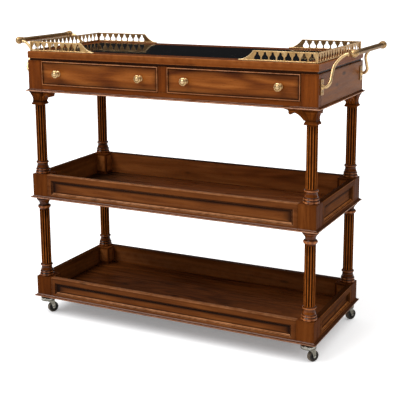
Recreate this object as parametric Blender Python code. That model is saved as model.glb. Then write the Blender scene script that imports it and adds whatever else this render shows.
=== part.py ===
# Serving cart: a two-drawer mahogany case on fluted columns over two railed trays,
# with a brass gallery, brass push handles and four swivel casters.
# Metres, +Z up, +X to the right of someone facing the drawers, drawers towards -Y.
# The origin is under the middle of the cart's bounding box, on the floor.
# A piece starts one seat gap above the level that carries it and ends at the next level.

import math

import bpy
import bmesh
from mathutils import Matrix, Vector

# Driving dimensions: footprint and clearances
cart_length = 1.012
cart_depth = 0.430
seat_gap = 0.0003
half_length = cart_length / 2
half_depth = cart_depth / 2

# Driving dimensions: heights of the storeys, from the floor up
caster_height = 0.066
low_tray_height = 0.0725
lower_column_height = 0.2795
mid_tray_height = 0.0835
upper_column_height = 0.2355
capital_height = 0.046
case_height = 0.103
cleat_height = 0.007
board_thickness = 0.023

# Levels that follow from them
low_tray_z = caster_height
low_tray_top = low_tray_z + low_tray_height
mid_tray_z = low_tray_top + lower_column_height
mid_tray_top = mid_tray_z + mid_tray_height
capital_z = mid_tray_top + upper_column_height
case_z = capital_z + capital_height
cleat_z = case_z + case_height
board_z = cleat_z + cleat_height
board_top = board_z + board_thickness

# Trays
rail_thickness = 0.019
floor_thickness = 0.007
floor_rise = 0.010
panel_end_margin = 0.014
panel_mould_width = 0.008
panel_recess = 0.0075
panel_step = 0.0022
mid_panel_top_margin = 0.0185
mid_panel_bottom_margin = 0.0155
low_panel_top_margin = 0.0180
low_panel_bottom_margin = 0.0150

# Base mouldings round the case and the trays: shares of the projection and of the height
moulding_projection = 0.0075
moulding_height = 0.0085
moulding_profile_shares = [
    (0.00, 0.00),
    (0.82, 0.00),
    (1.00, 0.20),
    (1.00, 0.36),
    (0.82, 0.56),
    (0.34, 0.68),
    (0.00, 1.00),
]

# Legs: a square block in each tray, with a turned and fluted column on it
post_side = 0.058
column_inset = 0.025
block_shift = post_side / 2 - column_inset
column_sides = 24
shaft_radius = 0.0172
flute_depth = 0.0022
flute_stop = 0.010
flute_run_out = 0.003
base_height = 0.043
base_radius = 0.0245
base_profile_shares = [
    (0.00, 0.97),
    (0.14, 1.00),
    (0.23, 0.87),
    (0.33, 0.94),
    (0.50, 0.88),
    (0.72, 0.69),
    (0.92, 0.78),
]
turned_capital_height = 0.041
turned_capital_radius = 0.0245
turned_capital_profile_shares = [
    (0.00, 0.72),
    (0.14, 0.84),
    (0.32, 0.86),
    (0.48, 0.67),
    (0.66, 0.63),
    (0.86, 0.80),
    (1.00, 1.00),
]

# Square capitals with brackets under the case
abacus_height = 0.0035
collar_side = 0.041
collar_height = 0.008
neck_side = 0.034
neck_fillet = 0.003
capital_flare_shares = [
    (0.40, 0.06),
    (0.75, 0.30),
    (1.00, 0.70),
]
short_bracket_reach = 0.061
long_bracket_reach = 0.085
bracket_width = 0.028
bracket_outline_shares = [
    (0.160, 0.00),
    (1.000, 0.00),
    (1.000, 0.05),
    (0.840, 0.16),
    (0.830, 0.30),
    (0.800, 0.39),
    (0.770, 0.42),
    (0.730, 0.40),
    (0.705, 0.33),
    (0.660, 0.28),
    (0.570, 0.31),
    (0.480, 0.39),
    (0.390, 0.50),
    (0.320, 0.62),
    (0.270, 0.75),
    (0.160, 0.75),
]

# Case
frame_thickness = 0.020
end_stile_width = 0.054
centre_stile_width = 0.031
bottom_rail_height = 0.0225
side_thickness = 0.018
back_thickness = 0.012
case_bottom_thickness = 0.012
partition_thickness = 0.018
cleat_inset = 0.005

# Top board and its black inset
board_border = 0.050
board_edge_round = 0.0025
inset_thickness = 0.010
inset_sink = 0.0008
inset_edge_round = 0.0008

# Drawers, with a cock bead round each front: shares of the bead's width and height
drawer_reveal = 0.0010
front_thickness = 0.0185
cock_bead_width = 0.0042
cock_bead_height = 0.0026
cock_bead_profile_shares = [
    (0.00, 0.50),
    (0.25, 1.00),
    (0.75, 1.00),
    (1.00, 0.50),
    (1.00, 0.00),
]
drawer_back_clearance = 0.033
drawer_wall = 0.011
drawer_side_drop = 0.014
drawer_bottom_thickness = 0.007
slide_clearance = 0.0005

# Drawer knobs: shares of the length out from the front and of the radius
knob_spacing = 0.308
knob_length = 0.0235
knob_radius = 0.0130
knob_sides = 14
knob_profile_shares = [
    (0.00, 0.74),
    (0.10, 0.77),
    (0.22, 0.40),
    (0.42, 0.40),
    (0.54, 0.80),
    (0.66, 1.00),
    (0.78, 0.97),
    (0.88, 0.78),
    (0.91, 0.42),
    (1.00, 0.32),
]

# Brass gallery at both ends of the top; openings in shares of their height and of the pitch
gallery_height = 0.031
gallery_thickness = 0.0028
gallery_inset = 0.006
gallery_post_side = 0.006
gallery_rail = 0.0052
gallery_pitch = 0.0245
gallery_straight_reach = 0.205
gallery_tip_reach = 0.254
gallery_tip_height = 0.0035
gallery_scroll_points = 8
gallery_scroll_power_share = 0.62
gallery_opening_shares = [
    (0.00, 0.28),
    (0.24, 0.33),
    (0.64, 0.17),
    (1.00, 0.12),
]

# Push handles
handle_reach = 0.081
handle_rise = 0.0955
handle_lean = 0.040
handle_ball_radius = 0.0130
handle_bar_sides = 14
plate_centre_rise = 0.065
plate_centre_inset = 0.025
handle_bar_half_length = half_depth - plate_centre_inset - handle_lean
plate_width = 0.023
plate_height = 0.047
plate_thickness = 0.003
arm_root_radius = 0.0047
arm_tip_radius = 0.0037
arm_sides = 10
# Each place is a share of the reach, of the rise and of the lean towards the middle
arm_path_shares = [
    (0.135, 0.000, 0.00),
    (0.205, 0.035, 0.03),
    (0.255, 0.085, 0.07),
    (0.285, 0.145, 0.13),
    (0.294, 0.240, 0.27),
    (0.290, 0.345, 0.42),
    (0.290, 0.450, 0.58),
    (0.303, 0.560, 0.75),
    (0.340, 0.660, 0.87),
    (0.420, 0.760, 0.94),
    (0.540, 0.860, 0.98),
    (0.690, 0.950, 1.00),
]
# Half of the bar, out from its middle: shares of the length to the ball's centre,
# then shares of the ball's radius beyond that centre, each with a share of the radius
bar_profile_shares = [
    (0.800, 0.58),
    (0.870, 0.63),
    (0.905, 0.78),
    (0.918, 0.68),
]
ball_profile_shares = [
    (-0.72, 0.70),
    (-0.50, 0.87),
    (0.00, 1.00),
    (0.50, 0.87),
    (0.80, 0.60),
    (0.92, 0.36),
    (1.00, 0.20),
]

# Casters
caster_heading = math.radians(56)
caster_trail = 0.017
caster_sides = 16
wheel_radius = 0.018
wheel_width = 0.015
tyre_round = 0.003
hub_radius = 0.0105
hub_recess = 0.0020
axle_radius = 0.0022
axle_head_radius = 0.0038
axle_head_height = 0.0014
axle_sides = 10
pin_clearance = 0.0001
mount_plate_radius = 0.024
mount_plate_thickness = 0.0022
race_radius = 0.0185
race_height = 0.0030
pivot_radius = 0.0035
pivot_head_radius = 0.0055
pivot_head_height = 0.0020
crown_radius = 0.0245
crown_thickness = 0.0130
crown_shoulder = 0.0045
cheek_thickness = 0.0020
cheek_clearance = 0.0010
cheek_half_width = 0.0080
cheek_shoulder = 0.0190
tool_overrun = 0.005


# Materials

def new_material(name, colour, roughness, metallic):
    material = bpy.data.materials.new(name)
    material.use_nodes = True
    shader = material.node_tree.nodes["Principled BSDF"]
    shader.inputs["Base Color"].default_value = (*colour, 1.0)
    shader.inputs["Roughness"].default_value = roughness
    shader.inputs["Metallic"].default_value = metallic
    material.diffuse_color = (*colour, 1.0)
    return material


# Geometry helpers

def skin(bm, loops, matrix=Matrix(), endless=False):
    """Join successive loops of points with faces, and close both ends unless endless."""
    rows = []
    for loop in loops:
        rows.append([bm.verts.new(matrix @ Vector(point)) for point in loop])
    pairs = list(zip(rows, rows[1:]))
    if endless:
        pairs.append((rows[-1], rows[0]))
    for lower, upper in pairs:
        count = len(lower)
        for i in range(count):
            following = (i + 1) % count
            bm.faces.new((lower[i], lower[following], upper[following], upper[i]))
    if not endless:
        bm.faces.new(rows[0])
        bm.faces.new(rows[-1])


def centred_rectangle(half_x, half_y, z):
    return [(-half_x, -half_y, z), (half_x, -half_y, z), (half_x, half_y, z), (-half_x, half_y, z)]


def upright_rectangle(x_low, x_high, y, z_low, z_high):
    return [(x_low, y, z_low), (x_high, y, z_low), (x_high, y, z_high), (x_low, y, z_high)]


def box(bm, x_range, y_range, z_range):
    loops = [upright_rectangle(*sorted(x_range), y, *z_range) for y in y_range]
    skin(bm, loops)


def circle(radius, height, sides, groove=0):
    """Points of one turned ring; a groove draws in every second point."""
    points = []
    for i in range(sides):
        angle = math.tau * i / sides
        reach = radius - groove * (i % 2)
        points.append((reach * math.cos(angle), reach * math.sin(angle), height))
    return points


def square_ring(half_side, height, shift=0):
    """A square with as many points as a ring of a column, moved the same way in X and Y."""
    points = []
    for x, y, z in circle(half_side, height, column_sides):
        reach = half_side / max(abs(x), abs(y))
        points.append((x * reach + shift, y * reach + shift, z))
    return points


def turned(bm, profile, sides, matrix=Matrix(), endless=False):
    """Turn (height, radius) points round the local Z axis."""
    skin(bm, [circle(radius, height, sides) for height, radius in profile], matrix, endless)


def plate(bm, polygons, thickness, matrix=Matrix()):
    """A flat plate from polygons in the local XZ plane that share their corners."""
    made = {}
    edge_uses = {}
    for polygon in polygons:
        for point in polygon:
            if point not in made:
                near = bm.verts.new(matrix @ Vector((point[0], -thickness / 2, point[1])))
                far = bm.verts.new(matrix @ Vector((point[0], thickness / 2, point[1])))
                made[point] = (near, far)
        bm.faces.new([made[point][0] for point in polygon])
        bm.faces.new([made[point][1] for point in reversed(polygon)])
        for start, end in zip(polygon, polygon[1:] + polygon[:1]):
            key = tuple(sorted((start, end)))
            edge_uses[key] = edge_uses.get(key, 0) + 1
    for (start, end), uses in edge_uses.items():
        if uses == 1:
            bm.faces.new((made[start][0], made[end][0], made[end][1], made[start][1]))


def tube(bm, points, radii, sides):
    """A round tube along points, with its rings turned as little as possible."""
    loops = []
    previous = None
    across = None
    for i, point in enumerate(points):
        ahead = points[min(i + 1, len(points) - 1)]
        behind = points[max(i - 1, 0)]
        direction = (ahead - behind).normalized()
        if previous is None:
            across = direction.cross(Vector((0, 0, 1))).normalized()
        else:
            across = previous.rotation_difference(direction) @ across
        other = direction.cross(across).normalized()
        loop = []
        for k in range(sides):
            angle = math.tau * k / sides
            loop.append(point + radii[i] * (math.cos(angle) * across + math.sin(angle) * other))
        loops.append(loop)
        previous = direction
    skin(bm, loops)


def shade(mesh, smooth_angle=math.radians(35)):
    mesh.shade_smooth()
    mesh.set_sharp_from_angle(angle=smooth_angle)
    return mesh


def finished_mesh(name, bm):
    bmesh.ops.recalc_face_normals(bm, faces=bm.faces)
    mesh = bpy.data.meshes.new(name)
    bm.to_mesh(mesh)
    bm.free()
    return shade(mesh)


def combined_mesh(name, bm, steps):
    """The mesh of one body after Boolean steps, each an operation with its tool."""
    pattern = bpy.data.objects.new(name, finished_mesh(name, bm))
    bpy.context.collection.objects.link(pattern)
    helpers = [pattern]
    for operation, tool_bm in steps:
        tool = bpy.data.objects.new("tool", finished_mesh("tool", tool_bm))
        bpy.context.collection.objects.link(tool)
        modifier = pattern.modifiers.new(operation.lower(), "BOOLEAN")
        modifier.operation = operation
        modifier.object = tool
        modifier.solver = "EXACT"
        helpers.append(tool)
    bpy.context.view_layer.update()
    evaluated = pattern.evaluated_get(bpy.context.evaluated_depsgraph_get())
    mesh = bpy.data.meshes.new_from_object(evaluated)
    for helper in helpers:
        bpy.data.objects.remove(helper)
    return shade(mesh)


def place(name, mesh, material, parent, location=(0, 0, 0), turn=0):
    if not mesh.materials:
        mesh.materials.append(material)
    thing = bpy.data.objects.new(name, mesh)
    bpy.context.collection.objects.link(thing)
    thing.parent = parent
    thing.location = location
    thing.rotation_euler = (0, 0, turn)


def new_empty(name, parent, location, turn=0):
    empty = bpy.data.objects.new(name, None)
    bpy.context.collection.objects.link(empty)
    empty.parent = parent
    empty.location = location
    empty.rotation_euler = (0, 0, turn)
    return empty


# The four sides of the footprint, each seen from outside as a front: turn, distance, half its length
sides_round = {
    "front": (0, half_depth, half_length),
    "right": (math.pi / 2, half_length, half_depth),
    "back": (math.pi, half_depth, half_length),
    "left": (-math.pi / 2, half_length, half_depth),
}

# The four corners: their signs in X and Y, and the turn that takes the first corner to each
corners = {
    "front_left": (-1, -1, 0),
    "front_right": (1, -1, math.pi / 2),
    "back_right": (1, 1, math.pi),
    "back_left": (-1, 1, -math.pi / 2),
}


def corner_place(corner):
    sign_x, sign_y = corners[corner][:2]
    return sign_x * (half_length - column_inset), sign_y * (half_depth - column_inset)


# Trays

def build_panelled_rail(name, side, z, height, top_margin, bottom_margin, material, parent):
    """A rail between two corner posts, with a moulded recess in its outer face."""
    angle, distance, half_span = sides_round[side]
    half_rail = half_span - post_side - seat_gap
    half_panel = half_rail - panel_end_margin

    def ring(inward, depth):
        half_opening = half_panel - inward
        return upright_rectangle(
            -half_opening, half_opening, depth, bottom_margin + inward, height - top_margin - inward
        )

    loops = [
        upright_rectangle(-half_rail, half_rail, rail_thickness, seat_gap, height),
        upright_rectangle(-half_rail, half_rail, 0, seat_gap, height),
        ring(0, 0),
        ring(0, panel_step),
        ring(panel_mould_width - panel_step, panel_recess - panel_step),
        ring(panel_mould_width, panel_recess),
    ]
    bm = bmesh.new()
    skin(bm, loops)
    location = Matrix.Rotation(angle, 4, "Z") @ Vector((0, -distance, z))
    place(name, finished_mesh(name, bm), material, parent, location, angle)


def build_tray_floor(name, z, material, parent):
    """A panel inside the rails, notched round the four corner posts."""
    edge_x = half_length - rail_thickness - seat_gap
    edge_y = half_depth - rail_thickness - seat_gap
    notch_x = half_length - post_side - seat_gap
    notch_y = half_depth - post_side - seat_gap
    quarter = [(edge_x, notch_y), (notch_x, notch_y), (notch_x, edge_y)]
    outline = list(quarter)
    outline += [(-x, y) for x, y in reversed(quarter)]
    outline += [(-x, -y) for x, y in quarter]
    outline += [(x, -y) for x, y in reversed(quarter)]
    top = z + floor_rise
    bm = bmesh.new()
    skin(bm, [[(x, y, level) for x, y in outline] for level in (top - floor_thickness, top)])
    place(name, finished_mesh(name, bm), material, parent)


def build_moulding(name, z, material, parent):
    """A mitred ring of moulding round the foot of a tray or of the case."""
    loops = []
    for out_share, up_share in moulding_profile_shares:
        out = seat_gap + moulding_projection * out_share
        up = seat_gap + (moulding_height - seat_gap) * up_share
        loops.append(centred_rectangle(half_length + out, half_depth + out, z + up))
    bm = bmesh.new()
    skin(bm, loops, endless=True)
    place(name, finished_mesh(name, bm), material, parent)


def build_tray(prefix, z, height, top_margin, bottom_margin, wood, floor_wood, parent):
    for side in sides_round:
        rail_name = f"{prefix}_rail_{side}"
        build_panelled_rail(rail_name, side, z, height, top_margin, bottom_margin, wood, parent)
    build_tray_floor(f"{prefix}_floor", z, floor_wood, parent)
    build_moulding(f"{prefix}_moulding", z, wood, parent)


# Legs

def column_loops(block_height, shaft_end):
    """Rings of the square block, the turned base and the fluted shaft, from the block's foot."""
    loops = [square_ring(post_side / 2, level, block_shift) for level in (seat_gap, block_height)]
    for up_share, radius_share in base_profile_shares:
        level = block_height + base_height * up_share
        loops.append(circle(base_radius * radius_share, level, column_sides))
    groove_start = block_height + base_height + flute_run_out
    groove_end = shaft_end - flute_stop
    loops.append(circle(shaft_radius, groove_start, column_sides))
    loops.append(circle(shaft_radius, groove_start + flute_run_out, column_sides, flute_depth))
    loops.append(circle(shaft_radius, groove_end, column_sides, flute_depth))
    loops.append(circle(shaft_radius, groove_end + flute_run_out, column_sides))
    return loops


def lower_column_mesh():
    height = low_tray_height + lower_column_height
    shaft_end = height - turned_capital_height
    loops = column_loops(low_tray_height, shaft_end)
    for up_share, radius_share in turned_capital_profile_shares:
        level = shaft_end + turned_capital_height * up_share
        loops.append(circle(turned_capital_radius * radius_share, level, column_sides))
    bm = bmesh.new()
    skin(bm, loops)
    return finished_mesh("lower_column", bm)


def upper_column_mesh():
    """The upper leg, with a square capital and two brackets that curve out under the case."""
    shaft_end = mid_tray_height + upper_column_height
    height = shaft_end + capital_height
    neck_z = shaft_end + collar_height + neck_fillet
    flare_height = height - abacus_height - neck_z
    half_neck = neck_side / 2
    loops = column_loops(mid_tray_height, shaft_end)
    loops.append(circle(shaft_radius, shaft_end, column_sides))
    loops.append(square_ring(collar_side / 2, shaft_end))
    loops.append(square_ring(collar_side / 2, shaft_end + collar_height))
    loops.append(square_ring(half_neck, neck_z))
    for up_share, out_share in capital_flare_shares:
        half_side = half_neck + (column_inset - half_neck) * out_share
        loops.append(square_ring(half_side, neck_z + flare_height * up_share))
    loops.append(square_ring(column_inset, height - abacus_height))
    loops.append(square_ring(column_inset, height))
    bm = bmesh.new()
    skin(bm, loops)

    steps = []
    for turn, reach in ((0, short_bracket_reach), (math.pi / 2, long_bracket_reach)):
        outline = []
        for reach_share, down_share in bracket_outline_shares:
            outline.append((reach * reach_share, height - capital_height * down_share))
        bracket = bmesh.new()
        plate(bracket, [outline], bracket_width, Matrix.Rotation(turn, 4, "Z"))
        steps.append(("UNION", bracket))
    return combined_mesh("upper_column", bm, steps)


def build_columns(wood, parent):
    upper = upper_column_mesh()
    lower = lower_column_mesh()
    for corner in corners:
        x, y = corner_place(corner)
        turn = corners[corner][2]
        place(f"upper_column_{corner}", upper, wood, parent, (x, y, mid_tray_z), turn)
        place(f"lower_column_{corner}", lower, wood, parent, (x, y, low_tray_z), turn)


# Case

def drawer_openings():
    stile_edge = half_length - end_stile_width
    half_stile = centre_stile_width / 2
    return {"left": (-stile_edge, -half_stile), "right": (half_stile, stile_edge)}


def build_case(wood, lining, parent):
    foot = case_z + seat_gap
    sill = case_z + bottom_rail_height
    inner_front = -half_depth + frame_thickness + seat_gap
    inner_back = half_depth - back_thickness - seat_gap
    inner_side = half_length - side_thickness - seat_gap

    stile_edge = half_length - end_stile_width
    half_stile = centre_stile_width / 2
    left_stile = [
        (-half_length, foot),
        (-stile_edge, foot),
        (-stile_edge, sill),
        (-stile_edge, cleat_z),
        (-half_length, cleat_z),
    ]
    right_stile = [(-x, z) for x, z in reversed(left_stile)]
    centre_stile = [(-half_stile, sill), (half_stile, sill), (half_stile, cleat_z), (-half_stile, cleat_z)]
    bottom_rail = [
        (-stile_edge, foot),
        (stile_edge, foot),
        (stile_edge, sill),
        (half_stile, sill),
        (-half_stile, sill),
        (-stile_edge, sill),
    ]
    polygons = [left_stile, bottom_rail, centre_stile, right_stile]
    bm = bmesh.new()
    plate(bm, polygons, frame_thickness, Matrix.Translation((0, frame_thickness / 2 - half_depth, 0)))
    place("case_front_frame", finished_mesh("case_front_frame", bm), wood, parent)

    for side, sign in (("left", -1), ("right", 1)):
        bm = bmesh.new()
        x_range = (sign * half_length, sign * (half_length - side_thickness))
        box(bm, x_range, (inner_front, half_depth), (foot, cleat_z))
        place(f"case_side_{side}", finished_mesh(f"case_side_{side}", bm), wood, parent)

    bm = bmesh.new()
    box(bm, (-inner_side, inner_side), (half_depth - back_thickness, half_depth), (foot, cleat_z))
    place("case_back", finished_mesh("case_back", bm), wood, parent)

    # A dust board that both drawers run on, with the partition between them standing on it
    half_partition = partition_thickness / 2
    under = sill - case_bottom_thickness
    outline = [
        (-inner_side, under),
        (inner_side, under),
        (inner_side, sill),
        (half_partition, sill),
        (half_partition, cleat_z),
        (-half_partition, cleat_z),
        (-half_partition, sill),
        (-inner_side, sill),
    ]
    bm = bmesh.new()
    middle = Matrix.Translation((0, (inner_front + inner_back) / 2, 0))
    plate(bm, [outline], inner_back - inner_front, middle)
    place("case_bottom", finished_mesh("case_bottom", bm), lining, parent)

    build_moulding("case_base_moulding", case_z, wood, parent)


def build_top(wood, black, parent):
    """The top board on its set-back cleat, and the black slab in its recess."""
    recess_x = half_length - board_border
    recess_y = half_depth - board_border
    edge = board_edge_round
    loops = [
        centred_rectangle(half_length - cleat_inset, half_depth - cleat_inset, cleat_z + seat_gap),
        centred_rectangle(half_length - cleat_inset, half_depth - cleat_inset, board_z),
        centred_rectangle(half_length - edge, half_depth - edge, board_z),
        centred_rectangle(half_length, half_depth, board_z + edge),
        centred_rectangle(half_length, half_depth, board_top - edge),
        centred_rectangle(half_length - edge, half_depth - edge, board_top),
        centred_rectangle(recess_x, recess_y, board_top),
        centred_rectangle(recess_x, recess_y, board_top - inset_thickness - inset_sink),
    ]
    bm = bmesh.new()
    skin(bm, loops)
    place("top_board", finished_mesh("top_board", bm), wood, parent)

    slab_x = recess_x - seat_gap
    slab_y = recess_y - seat_gap
    slab_top = board_top - inset_sink
    edge = inset_edge_round
    loops = [
        centred_rectangle(slab_x, slab_y, slab_top - inset_thickness + seat_gap),
        centred_rectangle(slab_x, slab_y, slab_top - edge),
        centred_rectangle(slab_x - edge, slab_y - edge, slab_top),
    ]
    bm = bmesh.new()
    skin(bm, loops)
    place("black_top_inset", finished_mesh("black_top_inset", bm), black, parent)


# Drawers

def knob_mesh():
    profile = [(knob_length * out, knob_radius * share) for out, share in knob_profile_shares]
    bm = bmesh.new()
    turned(bm, profile, knob_sides, Matrix.Rotation(math.pi / 2, 4, "X"))
    return finished_mesh("drawer_knob", bm)


def build_drawer(side, opening, knob, wood, lining, brass, parent):
    """A drawer in its own frame: the middle of its opening at X 0, the case's front at Y 0."""
    sill = case_z + bottom_rail_height
    centre = sum(opening) / 2
    slide = new_empty(f"{side}_drawer", parent, (centre, -half_depth, sill))
    half_width = (opening[1] - opening[0]) / 2 - drawer_reveal
    low = drawer_reveal
    high = cleat_z - sill - drawer_reveal

    def ring(inward, proud):
        half_ring = half_width - inward
        return upright_rectangle(-half_ring, half_ring, -proud, low + inward, high - inward)

    loops = [ring(0, -front_thickness)]
    for inward_share, proud_share in cock_bead_profile_shares:
        loops.append(ring(cock_bead_width * inward_share, cock_bead_height * proud_share))
    bm = bmesh.new()
    skin(bm, loops)
    place(f"{side}_drawer_front", finished_mesh(f"{side}_drawer_front", bm), wood, slide)

    box_front = front_thickness + seat_gap
    box_back = cart_depth - back_thickness - drawer_back_clearance
    half_box = (box_back - box_front) / 2
    rim = high - drawer_side_drop
    inner_x = half_width - drawer_wall
    inner_y = half_box - drawer_wall
    loops = [
        centred_rectangle(half_width, half_box, slide_clearance),
        centred_rectangle(half_width, half_box, rim),
        centred_rectangle(inner_x, inner_y, rim),
        centred_rectangle(inner_x, inner_y, slide_clearance + drawer_bottom_thickness),
    ]
    bm = bmesh.new()
    skin(bm, loops)
    name = f"{side}_drawer_box"
    place(name, finished_mesh(name, bm), lining, slide, (0, box_front + half_box, 0))

    for end, sign in (("left", -1), ("right", 1)):
        location = (sign * knob_spacing / 2, -seat_gap, (low + high) / 2)
        place(f"{side}_drawer_knob_{end}", knob, brass, slide, location)


# Gallery

def pierced_polygons(lead, length, count, tail):
    """Rails and uprights round bottle-shaped openings, with plain ends of two lengths."""
    pitch = length / count
    opening_height = gallery_height - 2 * gallery_rail
    lefts = []
    rights = []
    for i in range(count):
        centre = lead + pitch * (i + 0.5)
        left = []
        right = []
        for up_share, half_share in gallery_opening_shares:
            level = gallery_rail + opening_height * up_share
            left.append((centre - pitch * half_share, level))
            right.append((centre + pitch * half_share, level))
        lefts.append(left)
        rights.append(right)
    end = lead + length + tail
    sill = gallery_rail
    head = lefts[0][-1][1]
    bottom_row = [(0, sill)]
    top_row = [(0, head)]
    for left, right in zip(lefts, rights):
        bottom_row += [left[0], right[0]]
        top_row += [left[-1], right[-1]]
    bottom_row.append((end, sill))
    top_row.append((end, head))
    polygons = [
        [(0, 0), (end, 0)] + bottom_row[::-1],
        [(0, gallery_height), (end, gallery_height)] + top_row[::-1],
        [(0, sill)] + lefts[0] + [(0, head)],
        [(end, sill)] + rights[-1] + [(end, head)],
    ]
    for right, left in zip(rights, lefts[1:]):
        polygons.append(right + left[::-1])
    return polygons


def scroll_polygon(start, head, end):
    """The solid end of a wing, whose top edge falls in an ogee to a low tip."""
    outline = [(start, head), (start, gallery_rail), (start, 0), (end, 0), (end, gallery_tip_height)]
    for k in range(gallery_scroll_points - 1, 0, -1):
        along = k / gallery_scroll_points
        fall = (1 - math.cos(math.pi * along ** gallery_scroll_power_share)) / 2
        level = gallery_height - (gallery_height - gallery_tip_height) * fall
        outline.append((start + (end - start) * along, level))
    outline.append((start, gallery_height))
    return outline


def gallery_mesh():
    """The right-hand gallery: a pierced end, two wings along the cart and two corner posts."""
    half_post = gallery_post_side / 2
    line_x = half_length - gallery_inset - half_post
    line_y = half_depth - gallery_inset - half_post
    end_length = 2 * (line_y - half_post)
    count = round(end_length / gallery_pitch)
    bm = bmesh.new()
    quarter = Matrix.Rotation(math.pi / 2, 4, "Z")
    end_polygons = pierced_polygons(half_post, end_length, count, half_post)
    plate(bm, end_polygons, gallery_thickness, Matrix.Translation((line_x, -line_y, 0)) @ quarter)

    straight = gallery_straight_reach - gallery_inset - gallery_post_side
    count = round(straight / gallery_pitch)
    wing = pierced_polygons(half_post, straight, count, 0)
    head = wing[1][2][1]
    wing_end = half_post + gallery_tip_reach - gallery_inset - gallery_post_side
    wing.append(scroll_polygon(half_post + straight, head, wing_end))
    posts = bmesh.new()
    wings = bmesh.new()
    for sign in (-1, 1):
        y = sign * line_y
        x_range = (line_x - half_post, line_x + half_post)
        box(posts, x_range, (y - half_post, y + half_post), (0, gallery_height))
        half_turn = Matrix.Rotation(math.pi, 4, "Z")
        plate(wings, wing, gallery_thickness, Matrix.Translation((line_x, y, 0)) @ half_turn)
    return combined_mesh("gallery", bm, [("UNION", posts), ("UNION", wings)])


def build_galleries(brass, parent):
    mesh = gallery_mesh()
    foot = (0, 0, board_top + seat_gap)
    place("gallery_right", mesh, brass, parent, foot)
    place("gallery_left", mesh, brass, parent, foot, math.pi)


# Handles

def handle_bar_mesh():
    """A turned bar with a ball at each end."""
    half = []
    for along_share, radius_share in bar_profile_shares:
        half.append((handle_bar_half_length * along_share, handle_ball_radius * radius_share))
    for along_share, radius_share in ball_profile_shares:
        along = handle_bar_half_length + handle_ball_radius * along_share
        half.append((along, handle_ball_radius * radius_share))
    profile = [(-along, radius) for along, radius in reversed(half)] + half
    bm = bmesh.new()
    turned(bm, profile, handle_bar_sides, Matrix.Rotation(math.pi / 2, 4, "X"))
    return finished_mesh("handle_bar", bm)


def handle_arm_mesh(sign):
    """A backplate on the right-hand end of the case, and the arm from it up to the bar."""
    plate_y = half_depth - plate_centre_inset
    path = [(seat_gap + plate_thickness / 2, 0, 0)]
    for out_share, up_share, lean_share in arm_path_shares:
        path.append((handle_reach * out_share, handle_rise * up_share, handle_lean * lean_share))
    ball = Vector((handle_reach, handle_rise, handle_lean))
    approach = (ball - Vector(path[-1])).normalized()
    path.append(ball - approach * (handle_ball_radius + seat_gap))
    points = []
    for out, up, inward in path:
        points.append(Vector((half_length + out, sign * (plate_y - inward), up)))
    radii = []
    for i in range(len(points)):
        taper = i / (len(points) - 1)
        radii.append(arm_root_radius + (arm_tip_radius - arm_root_radius) * taper)
    arm = bmesh.new()
    tube(arm, points, radii, arm_sides)
    backplate = bmesh.new()
    x_range = (half_length + seat_gap, half_length + seat_gap + plate_thickness)
    y_range = (sign * plate_y - plate_width / 2, sign * plate_y + plate_width / 2)
    box(backplate, x_range, y_range, (-plate_height / 2, plate_height / 2))
    return combined_mesh("handle_arm", backplate, [("UNION", arm)])


def build_handles(brass, parent):
    bar = handle_bar_mesh()
    front = handle_arm_mesh(-1)
    back = handle_arm_mesh(1)
    plate_z = case_z + plate_centre_rise
    bar_x = half_length + handle_reach
    place("handle_bar_right", bar, brass, parent, (bar_x, 0, plate_z + handle_rise))
    place("handle_bar_left", bar, brass, parent, (-bar_x, 0, plate_z + handle_rise))
    place("handle_arm_right_front", front, brass, parent, (0, 0, plate_z))
    place("handle_arm_right_back", back, brass, parent, (0, 0, plate_z))
    place("handle_arm_left_front", back, brass, parent, (0, 0, plate_z), math.pi)
    place("handle_arm_left_back", front, brass, parent, (0, 0, plate_z), math.pi)


# Casters

def bore_radius(pin, sides):
    """The radius of a faceted hole that keeps the pin clearance all round."""
    return (pin + pin_clearance) / math.cos(math.pi / sides)


def caster_plate_mesh():
    """A round mounting plate with its ball race and the rivet that the fork turns on."""
    race_low = caster_height - mount_plate_thickness - race_height
    crown_low = race_low - seat_gap - crown_thickness
    head_top = crown_low - seat_gap
    head_low = head_top - pivot_head_height
    profile = [
        (head_low, pivot_head_radius / 2),
        (head_low + pivot_head_height / 2, pivot_head_radius),
        (head_top, pivot_head_radius),
        (head_top, pivot_radius),
        (race_low, pivot_radius),
        (race_low, race_radius),
        (caster_height - mount_plate_thickness, race_radius),
        (caster_height - mount_plate_thickness, mount_plate_radius),
        (caster_height, mount_plate_radius),
    ]
    bm = bmesh.new()
    turned(bm, profile, caster_sides)
    return finished_mesh("caster_plate", bm)


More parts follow.
